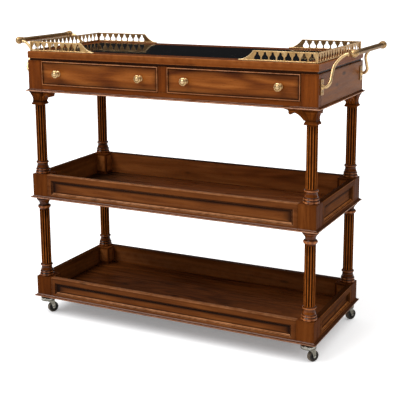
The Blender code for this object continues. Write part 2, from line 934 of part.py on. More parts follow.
def caster_fork_mesh():
    """A round crown on the swivel axis with two cheeks down to the axle, bored for it."""
    crown_top = caster_height - mount_plate_thickness - race_height - seat_gap
    crown_low = crown_top - crown_thickness
    crown_middle = crown_top - crown_thickness / 2
    bore = bore_radius(pivot_radius, caster_sides)
    profile = [
        (crown_low, bore),
        (crown_low, crown_radius),
        (crown_top - crown_shoulder, crown_radius),
        (crown_top, crown_radius - crown_shoulder),
        (crown_top, bore),
    ]
    crown = bmesh.new()
    turned(crown, profile, caster_sides, endless=True)

    heel = caster_trail - cheek_half_width
    toe = caster_trail + cheek_half_width
    outline = [
        (-cheek_shoulder, crown_low + crown_thickness / 4),
        (-cheek_shoulder, crown_middle),
        (cheek_shoulder, crown_middle),
        (toe, wheel_radius + cheek_half_width),
        (toe, wheel_radius - cheek_half_width / 2),
        (caster_trail + cheek_half_width / 2, wheel_radius - cheek_half_width),
        (caster_trail - cheek_half_width / 2, wheel_radius - cheek_half_width),
        (heel, wheel_radius - cheek_half_width / 2),
    ]
    cheek_y = wheel_width / 2 + cheek_clearance + cheek_thickness / 2
    cheeks = bmesh.new()
    for sign in (-1, 1):
        plate(cheeks, [outline], cheek_thickness, Matrix.Translation((0, sign * cheek_y, 0)))

    half_tool = cheek_y + cheek_thickness + tool_overrun
    radius = bore_radius(axle_radius, axle_sides)
    hub = Matrix.Translation((caster_trail, 0, wheel_radius)) @ Matrix.Rotation(math.pi / 2, 4, "X")
    axle_bore = bmesh.new()
    turned(axle_bore, [(-half_tool, radius), (half_tool, radius)], axle_sides, hub)
    return combined_mesh("caster_fork", crown, [("UNION", cheeks), ("DIFFERENCE", axle_bore)])


def caster_wheel_mesh():
    """A tyre with rounded shoulders on a hub that is bored for the axle."""
    half = wheel_width / 2
    bore = bore_radius(axle_radius, caster_sides)
    side = [
        (half - hub_recess, bore),
        (half - hub_recess, hub_radius),
        (half, hub_radius + hub_recess / 2),
        (half, wheel_radius - tyre_round),
        (half - tyre_round, wheel_radius),
    ]
    profile = side + [(-along, radius) for along, radius in reversed(side)]
    # The turn about Z puts a corner of the tyre straight down, so that the wheel stands on the floor
    lowest = Matrix.Rotation(math.pi / 2, 4, "Z")
    bm = bmesh.new()
    turned(bm, profile, caster_sides, Matrix.Rotation(math.pi / 2, 4, "X") @ lowest, endless=True)
    return finished_mesh("caster_wheel", bm)


def caster_axle_mesh():
    """A riveted pin through both cheeks, with a head outside each."""
    head_low = wheel_width / 2 + cheek_clearance + cheek_thickness + seat_gap
    side = [
        (head_low, axle_radius),
        (head_low, axle_head_radius),
        (head_low + axle_head_height / 2, axle_head_radius),
        (head_low + axle_head_height, axle_head_radius / 2),
    ]
    profile = [(-along, radius) for along, radius in reversed(side)] + side
    bm = bmesh.new()
    turned(bm, profile, axle_sides, Matrix.Rotation(math.pi / 2, 4, "X"))
    return finished_mesh("caster_axle", bm)


def build_casters(steel, rubber, parent):
    mount = caster_plate_mesh()
    fork = caster_fork_mesh()
    wheel = caster_wheel_mesh()
    axle = caster_axle_mesh()
    hub = (caster_trail, 0, wheel_radius)
    for corner in corners:
        x, y = corner_place(corner)
        place(f"caster_plate_{corner}", mount, steel, parent, (x, y, 0))
        swivel = new_empty(f"caster_swivel_{corner}", parent, (x, y, 0), caster_heading)
        place(f"caster_fork_{corner}", fork, steel, swivel)
        place(f"caster_axle_{corner}", axle, steel, swivel, hub)
        place(f"caster_wheel_{corner}", wheel, rubber, swivel, hub)


def build_cart():
    for thing in list(bpy.data.objects):
        bpy.data.objects.remove(thing)

    wood = new_material("polished_mahogany", (0.20, 0.060, 0.018), 0.32, 0)
    floor_wood = new_material("tray_floor_mahogany", (0.10, 0.032, 0.011), 0.28, 0)
    lining = new_material("drawer_lining_wood", (0.42, 0.27, 0.14), 0.55, 0)
    black = new_material("black_glass", (0.008, 0.008, 0.010), 0.05, 0)
    brass = new_material("aged_brass", (0.66, 0.42, 0.17), 0.30, 1)
    steel = new_material("plated_steel", (0.60, 0.60, 0.58), 0.30, 1)
    rubber = new_material("black_rubber", (0.02, 0.02, 0.02), 0.60, 0)

    # The knobs stand further out in front than the moulding does behind
    front_reach = seat_gap + knob_length
    back_reach = seat_gap + moulding_projection
    cart = new_empty("cart", None, (0, (front_reach - back_reach) / 2, 0))

    build_tray(
        "low_tray", low_tray_z, low_tray_height,
        low_panel_top_margin, low_panel_bottom_margin, wood, floor_wood, cart,
    )
    build_tray(
        "mid_tray", mid_tray_z, mid_tray_height,
        mid_panel_top_margin, mid_panel_bottom_margin, wood, floor_wood, cart,
    )
    build_columns(wood, cart)
    build_case(wood, lining, cart)
    build_top(wood, black, cart)
    knob = knob_mesh()
    for side, opening in drawer_openings().items():
        build_drawer(side, opening, knob, wood, lining, brass, cart)
    build_galleries(brass, cart)
    build_handles(brass, cart)
    build_casters(steel, rubber, cart)


build_cart()
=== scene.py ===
# Serving cart, dressed for rendering: the imported model with turned, carved and moulded detail.
# Metres, +Z up, drawers towards -Y. Shapes are made round the cart's own middle and moved back
# by middle_y when they are finished. The rows of a profile end with a tone: -1 is a hollow
# darkened with glaze and painted shade, and 1 a worn edge with a painted highlight. Sizes in a row
# are shares of the part's size, or millimetres where mm() or framed() reads them.
import math
from itertools import product

import bmesh
import bpy
from mathutils import Matrix, Vector


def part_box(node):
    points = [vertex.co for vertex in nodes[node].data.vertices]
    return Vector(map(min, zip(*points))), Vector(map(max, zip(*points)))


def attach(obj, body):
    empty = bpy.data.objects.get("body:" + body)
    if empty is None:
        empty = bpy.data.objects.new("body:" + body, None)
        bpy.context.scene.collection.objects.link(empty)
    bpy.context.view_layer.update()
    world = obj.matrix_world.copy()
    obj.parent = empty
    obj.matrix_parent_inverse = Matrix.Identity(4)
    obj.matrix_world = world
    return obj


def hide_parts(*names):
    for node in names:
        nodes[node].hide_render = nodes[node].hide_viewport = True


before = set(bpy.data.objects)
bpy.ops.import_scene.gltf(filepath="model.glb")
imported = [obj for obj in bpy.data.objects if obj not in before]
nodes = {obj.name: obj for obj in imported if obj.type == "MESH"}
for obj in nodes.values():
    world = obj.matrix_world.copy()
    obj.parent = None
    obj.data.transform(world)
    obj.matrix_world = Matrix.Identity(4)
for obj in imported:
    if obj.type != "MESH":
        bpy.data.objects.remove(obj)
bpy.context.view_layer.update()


# Sizes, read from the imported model

def edge_of(node, end, axis=2):
    """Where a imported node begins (end 0) or ends (end 1) along an axis, to 0.01 mm."""
    return round(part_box(node)[end][axis], 5)


gap = 0.0003
half_length = edge_of("top_board", 1, 0)
half_depth = round((edge_of("top_board", 1, 1) - edge_of("top_board", 0, 1)) / 2, 5)
middle_y = round(edge_of("top_board", 1, 1) - half_depth, 5)
low_z = edge_of("caster_plate_front_left", 1)
low_height = round(edge_of("low_tray_rail_front", 1) - low_z, 5)
mid_z = edge_of("lower_column_front_left", 1)
mid_height = round(edge_of("mid_tray_rail_front", 1) - mid_z, 5)
case_z = edge_of("upper_column_front_left", 1)
sill_z = case_z + 0.0225
cleat_z = edge_of("case_front_frame", 1)
board_z = cleat_z + 0.007
top_z = edge_of("top_board", 1)
post_side = round(edge_of("lower_column_front_left", 1, 0) + half_length, 5)
column_inset = 0.025
rail_thickness = 0.019
quarter = math.pi / 2

# Each side of the footprint: its turn, its distance from the middle and half its length
sides_round = {
    "front": (0, half_depth, half_length),
    "right": (quarter, half_length, half_depth),
    "back": (math.pi, half_depth, half_length),
    "left": (-quarter, half_length, half_depth),
}
# Each corner: its signs in x and y, and the turn of what stands there
corners = {
    "front_left": (-1, -1, 0),
    "front_right": (1, -1, quarter),
    "back_right": (1, 1, math.pi),
    "back_left": (-1, 1, -quarter),
}


# Node trees

def colour(red, green, blue):
    """A colour given on the 0 to 255 display scale."""
    parts = []
    for value in (red / 255, green / 255, blue / 255):
        parts.append(value / 12.92 if value <= 0.04045 else ((value + 0.055) / 1.055) ** 2.4)
    return (*parts, 1)


def shades(colours, places=None):
    """Stops of a colour ramp, from dark to light."""
    usual = {2: (0, 1), 3: (0, 0.5, 1), 4: (0, 0.42, 0.72, 1)}
    places = places or usual[len(colours)]
    return [(place, colour(*shade)) for place, shade in zip(places, colours)]


def connect(tree, value, socket):
    if isinstance(value, bpy.types.NodeSocket):
        tree.links.new(value, socket)
    else:
        socket.default_value = value


def add(tree, kind, settings=None, **values):
    node = tree.nodes.new(kind)
    for key, value in (settings or {}).items():
        setattr(node, key, value)
    for key, value in values.items():
        connect(tree, value, node.inputs[key.replace("_", " ")])
    return node


def calc(tree, operation, *values, clamp=False):
    node = add(tree, "ShaderNodeMath", {"operation": operation, "use_clamp": clamp})
    for socket, value in zip(node.inputs, values):
        connect(tree, value, socket)
    return node.outputs[0]


def span(tree, value, low, high, to_low=0, to_high=1):
    node = add(tree, "ShaderNodeMapRange", {"clamp": True}, Value=value, From_Min=low, From_Max=high)
    node.inputs["To Min"].default_value = to_low
    node.inputs["To Max"].default_value = to_high
    return node.outputs[0]


def mix(tree, share, first, second):
    node = add(tree, "ShaderNodeMix", {"data_type": "RGBA"})
    for index, value in ((0, share), (6, first), (7, second)):
        connect(tree, value, node.inputs[index])
    return node.outputs[2]


def ramp(tree, value, stops):
    node = add(tree, "ShaderNodeValToRGB", Fac=value)
    elements = node.color_ramp.elements
    while len(elements) < len(stops):
        elements.new(0.5)
    for element, (position, shade) in zip(elements, stops):
        element.position = position
        element.color = shade
    return node.outputs[0]


def read(tree, name):
    return add(tree, "ShaderNodeAttribute", {"attribute_name": name}).outputs["Fac"]


def position(tree):
    return add(tree, "ShaderNodeTexCoord").outputs["Object"]


def noise(tree, vector, scale, detail=2, w=None, rough=0.5, output=0):
    values = {"Vector": vector, "Scale": scale, "Detail": detail, "Roughness": rough}
    settings = {}
    if w is not None:
        values["W"] = w
        settings["noise_dimensions"] = "4D"
    return add(tree, "ShaderNodeTexNoise", settings, **values).outputs[output]


def stretched(tree, vector, scales):
    return add(tree, "ShaderNodeMapping", Vector=vector, Scale=scales).outputs[0]


def bumped(tree, height, strength, distance):
    return add(tree, "ShaderNodeBump", Height=height, Strength=strength, Distance=distance).outputs[0]


# Materials


def new_material(name, metallic=0, specular=0.5):
    material = bpy.data.materials.new(name)
    material.use_nodes = True
    tree = material.node_tree
    shader = tree.nodes["Principled BSDF"]
    shader.inputs["Metallic"].default_value = metallic
    shader.inputs["Specular IOR Level"].default_value = specular
    return material, tree, shader


def finish_off(tree, shader, base, roughness, normal=None):
    connect(tree, base, shader.inputs["Base Color"])
    connect(tree, roughness, shader.inputs["Roughness"])
    if normal:
        connect(tree, normal, shader.inputs["Normal"])


def wood(
    name, axis, colours, lit, glaze_and_shade, figure=0.5, rough=(0.22, 0.36), specular=0.08,
    places=None,
):
    """Polished wood with its grain along one axis: figure, fibres, pores, knots, worn arrises and painted
    highlights, glaze and painted shade.
    """
    material, tree, shader = new_material(name, specular=specular)
    lit = colour(*lit)
    glaze_and_shade = colour(*glaze_and_shade)
    where = position(tree)
    seed = read(tree, "seed")
    tone = read(tree, "tone")
    sway = noise(tree, where, 7, 1, seed, output="Color")
    bend = add(tree, "ShaderNodeVectorMath", {"operation": "SCALE"}, Vector=sway, Scale=0.01)
    bent = add(tree, "ShaderNodeVectorMath", {"operation": "ADD"})
    tree.links.new(where, bent.inputs[0])
    tree.links.new(bend.outputs[0], bent.inputs[1])
    where = bent.outputs[0]

    def along(length_scale, cross_scale):
        scales = [cross_scale] * 3
        scales[axis] = length_scale
        return stretched(tree, where, scales)

    broad = noise(tree, along(3, 16), 1, 3, seed)
    contour = noise(tree, along(1.7, 13), 1, 1.5, seed)
    rings = calc(tree, "SINE", calc(tree, "MULTIPLY", contour, 58))
    fibre = noise(tree, along(14, 380), 1, 4, seed, 0.6)
    streak = noise(tree, along(4, 95), 1, 3, seed)
    pore = span(tree, noise(tree, along(75, 1150), 1, 1, seed), 0.6, 0.7)
    value = calc(tree, "MULTIPLY_ADD", rings, 0.085 * figure, calc(tree, "MULTIPLY", broad, 0.52))
    value = calc(tree, "MULTIPLY_ADD", fibre, 0.22, value)
    value = calc(tree, "MULTIPLY_ADD", streak, 0.3, value)
    base = ramp(tree, span(tree, value, 0.3, 0.74), shades(colours, places))
    base = mix(tree, calc(tree, "MULTIPLY", pore, 0.42), base, glaze_and_shade)
    settings = {"voronoi_dimensions": "4D"}
    cells = add(tree, "ShaderNodeTexVoronoi", settings, Vector=along(9, 26), W=seed, Scale=1)
    knot = span(tree, cells.outputs["Distance"], 0.1, 0.22, 0.75, 0)
    base = mix(tree, knot, base, glaze_and_shade)
    patchy = span(tree, noise(tree, where, 60, 3, seed), 0.3, 0.62, 0.25, 1)
    # Above 0 the tone mixes in the lit colour, for worn edges and painted highlights; below 0 the glaze, for
    # glaze and painted shade in hollows.
    worn_and_lit = calc(tree, "MULTIPLY", tone, patchy, clamp=True)
    base = mix(tree, calc(tree, "MULTIPLY", worn_and_lit, 0.8), base, lit)
    base = mix(tree, calc(tree, "MULTIPLY", tone, -0.86, clamp=True), base, glaze_and_shade)
    relief = calc(tree, "MULTIPLY_ADD", pore, -0.5, fibre)
    finish_off(tree, shader, base, span(tree, streak, 0.3, 0.7, *rough), bumped(tree, relief, 0.16, 0.0004))
    return material


def metal(name, colours, patina_and_shade, lit, rough, tarnish):
    """Cast and polished metal: cloudy tarnish, dirt and painted shade in the hollows, bright worn edges with
    painted highlights.
    """
    material, tree, shader = new_material(name, metallic=1)
    patina_and_shade = colour(*patina_and_shade)
    lit = colour(*lit)
    where = position(tree)
    tone = read(tree, "tone")
    cloud = noise(tree, where, 46, 4, rough=0.62)
    grit = noise(tree, where, 900, 3)
    rub = noise(tree, stretched(tree, where, (160, 160, 900)), 1, 2)
    base = ramp(tree, span(tree, cloud, 0.3, 0.68), shades(colours))
    spots = span(tree, noise(tree, where, 190, 4, rough=0.7), 0.52, 0.72, 0, tarnish)
    base = mix(tree, spots, base, patina_and_shade)
    # Below 0 the tone mixes in the patina, for dirt and painted shade; above 0 the lit colour, for worn edges
    # and painted highlights.
    base = mix(tree, calc(tree, "MULTIPLY", tone, -0.9, clamp=True), base, patina_and_shade)
    base = mix(tree, calc(tree, "MULTIPLY", tone, 0.6, clamp=True), base, lit)
    gloss = calc(tree, "MULTIPLY_ADD", spots, 0.22, span(tree, grit, 0.3, 0.7, *rough))
    relief = calc(tree, "MULTIPLY_ADD", rub, 0.5, cloud)
    finish_off(tree, shader, base, gloss, bumped(tree, relief, 0.1, 0.0005))
    return material


def black_glass():
    """A black polished slab with faint dust and wiping marks in its gloss."""
    material, tree, shader = new_material("black_slab")
    shader.inputs["IOR"].default_value = 1.12
    where = position(tree)
    cloud = noise(tree, where, 9, 4)
    wipe = noise(tree, stretched(tree, where, (5, 60, 20)), 1, 3)
    pale_marks = span(tree, noise(tree, where, 800, 2), 0.66, 0.8)
    base = ramp(tree, span(tree, cloud, 0.3, 0.7), shades([(8, 8, 11), (15, 15, 19)]))
    base = mix(tree, calc(tree, "MULTIPLY", pale_marks, 0.14), base, colour(120, 118, 116))
    finish_off(tree, shader, base, span(tree, wipe, 0.3, 0.7, 0.035, 0.085))
    return material


def rubber():
    """Black tyre rubber, paler where it touches the floor: dust and a painted highlight."""
    material, tree, shader = new_material("tyre_rubber_black", specular=0.35)
    where = position(tree)
    cloud = noise(tree, where, 70, 4)
    base = ramp(tree, span(tree, cloud, 0.3, 0.7), shades([(20, 20, 21), (38, 36, 36)]))
    # Paler where the tone is above 0, on the tread: dust and a painted highlight
    pale_marks = calc(tree, "MULTIPLY", read(tree, "tone"), span(tree, cloud, 0.25, 0.5), clamp=True)
    base = mix(tree, calc(tree, "MULTIPLY", pale_marks, 0.72), base, colour(138, 122, 102))
    relief = noise(tree, where, 1500, 2)
    roughness = span(tree, cloud, 0.3, 0.7, 0.42, 0.62)
    finish_off(tree, shader, base, roughness, bumped(tree, relief, 0.12, 0.0003))
    return material


# The lit colour paints highlights and worn edges; the glaze colours pores and knots and paints shade in the
# hollows.
lit = (190, 118, 62)
glaze_and_shade = (28, 11, 4)
case_colours = [(74, 32, 7), (106, 50, 11), (124, 62, 17), (146, 79, 28)]
wood_x, wood_y, wood_z = [
    wood(f"mahogany_{letter}", axis, case_colours, lit, glaze_and_shade, specular=0.045)
    for axis, letter in enumerate("xyz")
]
tray_colours = [(70, 33, 10), (103, 54, 19), (118, 65, 26), (138, 81, 36)]
tray_x = wood("tray_mahogany_x", 0, tray_colours, (200, 142, 98), glaze_and_shade, specular=0.05)
tray_end_colours = [(65, 32, 11), (92, 49, 19), (108, 60, 25), (128, 75, 35)]
tray_y = wood("tray_mahogany_y", 1, tray_end_colours, lit, glaze_and_shade, specular=0.003)
# A lighter copy of the tray wood, which paints light onto the inside of the mid tray's back rail
lit_inside_colours = [(96, 50, 20), (138, 78, 36), (158, 94, 46), (180, 114, 62)]
lit_inside_wood = wood("tray_inside_mahogany_painted_light", 0, lit_inside_colours, (204, 136, 78), glaze_and_shade, 0.8)
block_colours = [(60, 27, 8), (90, 44, 14), (105, 55, 20), (125, 69, 29)]
block_wood = wood("block_mahogany", 2, block_colours, lit, glaze_and_shade, specular=0.008)
column_colours = [(66, 29, 7), (96, 46, 11), (114, 58, 17), (136, 74, 27)]
# A darker glaze for the columns, for pores and knots and for painted shade in the flutes' hollows.
column_glaze_and_shade = (16, 6, 2)
column_wood = wood("column_mahogany", 2, column_colours, (184, 104, 42), column_glaze_and_shade, specular=0.006)
turned_lit = (200, 126, 76)
turned_wood = wood("turned_mahogany", 2, column_colours, turned_lit, column_glaze_and_shade, 0.5, (0.06, 0.12), 0.22)
edge_lit = (214, 158, 122)
edge_x = wood("moulding_mahogany_x", 0, tray_colours, edge_lit, glaze_and_shade, 0.5, (0.14, 0.24), 0.2)
edge_y = wood("moulding_mahogany_y", 1, tray_end_colours, edge_lit, glaze_and_shade, 0.5, (0.14, 0.24), 0.06)
# Lighter, greyer wood for the case's ends: a painted sheen of the pale floor's reflection
end_sheen_colours = [(90, 48, 20), (121, 70, 33), (138, 84, 42), (156, 100, 56)]
end_sheen_wood = wood("mahogany_ends_painted_sheen", 1, end_sheen_colours, lit, glaze_and_shade, rough=(0.3, 0.42), specular=0.06)
flame_colours = [(92, 43, 13), (130, 69, 24), (148, 83, 33), (168, 100, 45)]
flame = wood(
    "mahogany_figured", 0, flame_colours, (206, 150, 112), glaze_and_shade, 1.5, specular=0.06, places=(0, 0.4, 0.7, 1),
)
floor_colours = [(54, 25, 8), (80, 40, 14), (96, 50, 19), (116, 64, 26)]
# The mid tray's floor wood is a lighter copy of the low tray's: painted light where the case above shades it
lit_warm_colours = [(86, 46, 21), (120, 66, 32), (138, 80, 40), (158, 97, 52)]
floor_woods = {}
for tray, name, colours, worn_and_lit, dark, specular in (
    ("low_tray", "tray_floor_mahogany", floor_colours, (148, 84, 38), (20, 8, 2), 0.02),
    ("mid_tray", "tray_floor_warm_painted_light", lit_warm_colours, (150, 92, 50), (20, 9, 4), 0.15),
):
    rough = (0.24, 0.36)
    places = (0, 0.45, 0.75, 1)
    floor_woods[tray] = wood(name, 0, colours, worn_and_lit, dark, 1, rough, specular, places)
lining_colours = [(150, 112, 70), (184, 146, 98), (208, 174, 126)]
lining = wood(
    "drawer_lining", 1, lining_colours, (222, 192, 146), (96, 66, 38), 0.7, (0.5, 0.66), 0.25,
)
brass_colours = [(188, 146, 92), (216, 174, 116), (238, 202, 148)]
brass = metal("aged_brass", brass_colours, (104, 74, 42), (250, 226, 182), (0.32, 0.44), 0.35)
dark_colours = [(150, 112, 68), (186, 144, 92), (212, 172, 118)]
dark_brass = metal("dark_brass", dark_colours, (84, 58, 32), (240, 212, 164), (0.38, 0.5), 0.5)
# The steel's wide cloudy ramp paints patches of reflection as well as tarnish
steel_colours = [(82, 79, 70), (148, 144, 130), (208, 206, 197)]
steel = metal(
    "plated_steel_bright", steel_colours, (66, 62, 54), (222, 220, 212), (0.14, 0.26), 0.45,
)
tyre = rubber()
slab = black_glass()


# Shapes in the making

class Form:
    """A mesh in the making. Its points carry a tone, from a hollow with glaze and painted shade to a worn
    edge with a painted highlight, and a seed.
    """

    def __init__(self):
        self.bm = bmesh.new()
        self.tone = self.bm.verts.layers.float.new("tone")
        self.seed = self.bm.verts.layers.float.new("seed")

    def point(self, place, tone=0, seed=0):
        vert = self.bm.verts.new(place)
        vert[self.tone] = tone
        vert[self.seed] = seed
        return vert

    def skin(self, loops, seed=0, matrix=Matrix(), endless=False):
        """Successive loops of points joined by faces. A point is (x, y, z, tone)."""
        rows = []
        for loop in loops:
            rows.append([self.point(matrix @ Vector((x, y, z)), tone, seed) for x, y, z, tone in loop])
        pairs = list(zip(rows, rows[1:]))
        if endless:
            pairs.append((rows[-1], rows[0]))
        for lower, upper in pairs:
            for i in range(len(lower)):
                following = (i + 1) % len(lower)
                self.bm.faces.new((lower[i], lower[following], upper[following], upper[i]))
        if not endless:
            self.bm.faces.new(rows[0])
            self.bm.faces.new(rows[-1])

    def board(self, low, high, seed=0, edge=0.001, arris=0.55, rim=-0.4, body=0, matrix=Matrix()):
        """A sawn and eased board: worn arrises with a painted highlight, a darker rim of glaze and painted
        shade along every edge, plain in the middle.
        """
        marks = []
        eases = []
        for start, end in zip(low, high):
            size = end - start
            eases.append(min(edge, size * 0.16))
            steps = (0, eases[-1], min(0.0032, size * 0.28), min(0.009, size * 0.45))
            marks.append([start + s for s in steps] + [end - s for s in reversed(steps)])
        tones = (arris, rim, rim * 0.45, body)
        made = {}
        for index in product(range(8), repeat=3):
            ends = [a for a in range(3) if index[a] in (0, 7)]
            if not ends:
                continue
            place = [marks[a][index[a]] for a in range(3)]
            tone = arris
            if len(ends) > 1:
                for a in ends:
                    place[a] += eases[a] * (0.3 if index[a] == 0 else -0.3)
            else:
                tone = tones[min(min(index[a], 7 - index[a]) for a in range(3) if a not in ends)]
            made[index] = self.point(matrix @ Vector(place), tone, seed)
        for a, side, p, q in product(range(3), (0, 7), range(7), range(7)):
            b, c = [n for n in range(3) if n != a]
            quad = []
            for dp, dq in ((0, 0), (1, 0), (1, 1), (0, 1)):
                index = [0, 0, 0]
                index[a], index[b], index[c] = side, p + dp, q + dq
                quad.append(made[tuple(index)])
            self.bm.faces.new(quad)

    def lathe(self, rings, sides, seed=0, matrix=Matrix(), wave=None, endless=False):
        """Turned (height, radius, tone) rings; wave(ring, angle) gives a change of radius and of tone."""
        loops = []
        for n, (height, radius, tone) in enumerate(rings):
            loop = []
            for k in range(sides):
                angle = math.tau * k / sides
                more, shade = wave(n, angle) if wave else (0, 0)
                reach = radius + more
                loop.append((reach * math.cos(angle), reach * math.sin(angle), height, tone + shade))
            loops.append(loop)
        self.skin(loops, seed, matrix, endless)

    def tube(self, points, radii, sides, tone=0, seed=0, matrix=Matrix()):
        """A round bar along the points, with a radius at each."""
        loops = []
        previous = None
        last = len(points) - 1
        for i, place in enumerate(points):
            direction = (points[min(i + 1, last)] - points[max(i - 1, 0)]).normalized()
            if previous is None:
                across = direction.orthogonal().normalized()
            else:
                across = previous.rotation_difference(direction) @ across
            other = direction.cross(across).normalized()
            loop = []
            for k in range(sides):
                angle = math.tau * k / sides
                reach = math.cos(angle) * across + math.sin(angle) * other
                loop.append((*(place + radii[i] * reach), tone))
            loops.append(loop)
            previous = direction
        self.skin(loops, seed, matrix)

    def plate(self, polygons, thickness, tone=0, seed=0, matrix=Matrix()):
        """A flat plate from polygons in the local XZ plane that share their corners."""
        sides = (-thickness / 2, thickness / 2)
        made = {}
        uses = {}
        for polygon in polygons:
            for x, z in polygon:
                if (x, z) not in made:
                    made[x, z] = [self.point(matrix @ Vector((x, y, z)), tone, seed) for y in sides]
            self.bm.faces.new([made[place][0] for place in polygon])
            self.bm.faces.new([made[place][1] for place in reversed(polygon)])
            for start, end in zip(polygon, polygon[1:] + polygon[:1]):
                key = tuple(sorted((start, end)))
                uses[key] = uses.get(key, 0) + 1
        for (start, end), count in uses.items():
            if count == 1:
                self.bm.faces.new((made[start][0], made[end][0], made[end][1], made[start][1]))


def finished(name, form, material, replaced, body="cart", sharp=42, bevel=0):
    """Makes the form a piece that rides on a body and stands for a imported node."""
    bm = form.bm
    bmesh.ops.translate(bm, verts=bm.verts, vec=(0, middle_y, 0))
    bmesh.ops.recalc_face_normals(bm, faces=bm.faces)
    mesh = bpy.data.meshes.new(name)
    bm.to_mesh(mesh)
    bm.free()
    mesh.shade_smooth()
    mesh.set_sharp_from_angle(angle=math.radians(sharp))
    mesh.materials.append(material)
    thing = bpy.data.objects.new(name, mesh)
    bpy.context.collection.objects.link(thing)
    if bevel:
        eased = thing.modifiers.new("eased", "BEVEL")
        eased.width = bevel
        eased.segments = 2
        eased.limit_method = "ANGLE"
        eased.angle_limit = math.radians(38)
    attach(thing, body)
    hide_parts(replaced)


def dress(name, material):
    """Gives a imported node, whose shape is right, its material."""
    thing = nodes[name]
    thing.data.materials.clear()
    thing.data.materials.append(material)


def mm(rows):
    """Rows of two sizes in millimetres and a tone, with the sizes in metres."""
    return [(first / 1000, second / 1000, tone) for first, second, tone in rows]


def mirrored(rings):
    return [(-along, radius, tone) for along, radius, tone in reversed(rings)]


def smooth_path(points, steps):
    """A curve through the points, with so many steps between each two."""
    out = []
    for i in range(len(points) - 1):
        a = points[max(i - 1, 0)]
        b = points[i]
        c = points[i + 1]
        d = points[min(i + 2, len(points) - 1)]
        for s in range(steps):
            t = s / steps
            square = (2 * a - 5 * b + 4 * c - d) * t * t
            cube = (3 * b - a - 3 * c + d) * t ** 3
            out.append((2 * b + (c - a) * t + square + cube) / 2)
    out.append(points[-1])
    return out


def framed(half_x, low, high, inset_x, inset_z, depth, foot, end, head):
    """An upright rectangle, set in and back by millimetres, with a tone for its foot, ends and head."""
    x = half_x - inset_x / 1000
    y = depth / 1000
    low += inset_z / 1000
    high -= inset_z / 1000
    ease = 0.0005
    return [
        (-x, y, low, foot), (x, y, low, foot), (x, y, low + ease, end), (x, y, high - ease, end),
        (x, y, high, head), (-x, y, high, head), (-x, y, high - ease, end), (-x, y, low + ease, end),
    ]


def moved(x, y, z):
    return Matrix.Translation((x, y, z))


def rotated(angle, axis="Z"):
    return Matrix.Rotation(angle, 4, axis)


def side_matrix(side, z=0):
    angle, distance = sides_round[side][:2]
    return rotated(angle) @ moved(0, -distance, z)


def corner_matrix(corner, z):
    sign_x, sign_y, turn = corners[corner]
    place = moved(sign_x * (half_length - column_inset), sign_y * (half_depth - column_inset), z)
    return place @ rotated(turn)


# Rings of moulding or board round the footprint, mitred at the corners

def mitred_side(form, side, profile, seed):
    """Profile points are (out from the face, height, tone)."""
    half_span = sides_round[side][2]
    left = [(-half_span - out, -out, height, tone) for out, height, tone in profile]
    right = [(half_span + out, -out, height, tone) for out, height, tone in profile]
    form.skin([left, right], seed, side_matrix(side))


def mitred_ring(name, profile, seed, replaced, front_wood, side_wood):
    for letter, material, pair in (("x", front_wood, ("front", "back")), ("y", side_wood, ("right", "left"))):
        form = Form()
        for n, side in enumerate(pair):
            mitred_side(form, side, profile, seed + n * 1.7 + (0.6 if letter == "y" else 0))
        finished(f"{name}_{letter}", form, material, replaced)


def base_moulding(name, z, nose_wear_and_highlight, seed, replaced):
    """An ovolo over a hollow, with painted shade in the hollow; the third argument is the tone of its worn
    nose, with a painted highlight.
    """
    shares = [
        (0, 0, -0.5), (0.7, 0, -0.5), (0.86, 0.04, -0.1), (0.97, 0.12, 0.5 * nose_wear_and_highlight), (1, 0.24, nose_wear_and_highlight),
        (1, 0.34, nose_wear_and_highlight), (0.94, 0.46, 0.8 * nose_wear_and_highlight), (0.84, 0.53, -0.2), (0.72, 0.55, -0.9),
        (0.6, 0.565, -0.9), (0.5, 0.6, -0.6), (0.36, 0.68, -0.3), (0.22, 0.8, -0.1), (0.12, 0.92, -0.3),
        (0, 1, -0.8),
    ]
    profile = [(gap + 0.0074 * out, z + gap + 0.0082 * up, tone) for out, up, tone in shares]
    mitred_ring(name, profile, seed, replaced, edge_x, edge_y)


base_moulding("low_base_moulding", low_z, 0.45, 3.1, "low_tray_moulding")
base_moulding("mid_base_moulding", mid_z, 0.75, 5.3, "mid_tray_moulding")
base_moulding("case_moulding", case_z, 1, 7.9, "case_base_moulding")

# The top's border: rows of (out, up from a level, tone) for the cleat, the nosing and the recess
# The cleat and the recess's inner wall are darkened: painted shade under the nosing and inside the recess
cleat_rows = [(-50, 0.3, -1), (-5.2, 0.3, -1)]
nosing_rows = [
    (-5, 0, -1), (-2.6, 0, -0.8), (-1, 0.4, 0), (-0.2, 1.3, 0.6), (0, 2.7, 0.2), (0, 6, 0.05),
    (0, 11, 0.25),
]
recess_rows = [
    (0, -6, 0.25), (0, -2.7, 0.4), (-0.2, -1.3, 0.8), (-1, -0.4, 0.8), (-2.6, 0, 0.1), (-6, 0, -0.25),
    (-20, 0, 0), (-42, 0, 0), (-48.5, 0, -0.3), (-49.6, 0, 0.3), (-50, -0.6, -0.8), (-50, -10.6, -1),
]
top_profile = []
for level, rows in ((cleat_z, cleat_rows), (board_z, nosing_rows), (top_z, recess_rows)):
    top_profile += [(out, level + up, tone) for out, up, tone in mm(rows)]
mitred_ring("top_border", top_profile, 11.3, "top_board", wood_x, wood_y)
border_width = 0.05
slab_bed_z = top_z - 0.011
core = Form()
core_x = half_length - border_width
core_y = half_depth - border_width
core.board((-core_x, -core_y, cleat_z + gap), (core_x, core_y, slab_bed_z), 2.2)
finished("top_core", core, wood_x, "top_board")
dress("black_top_inset", slab)


# Trays

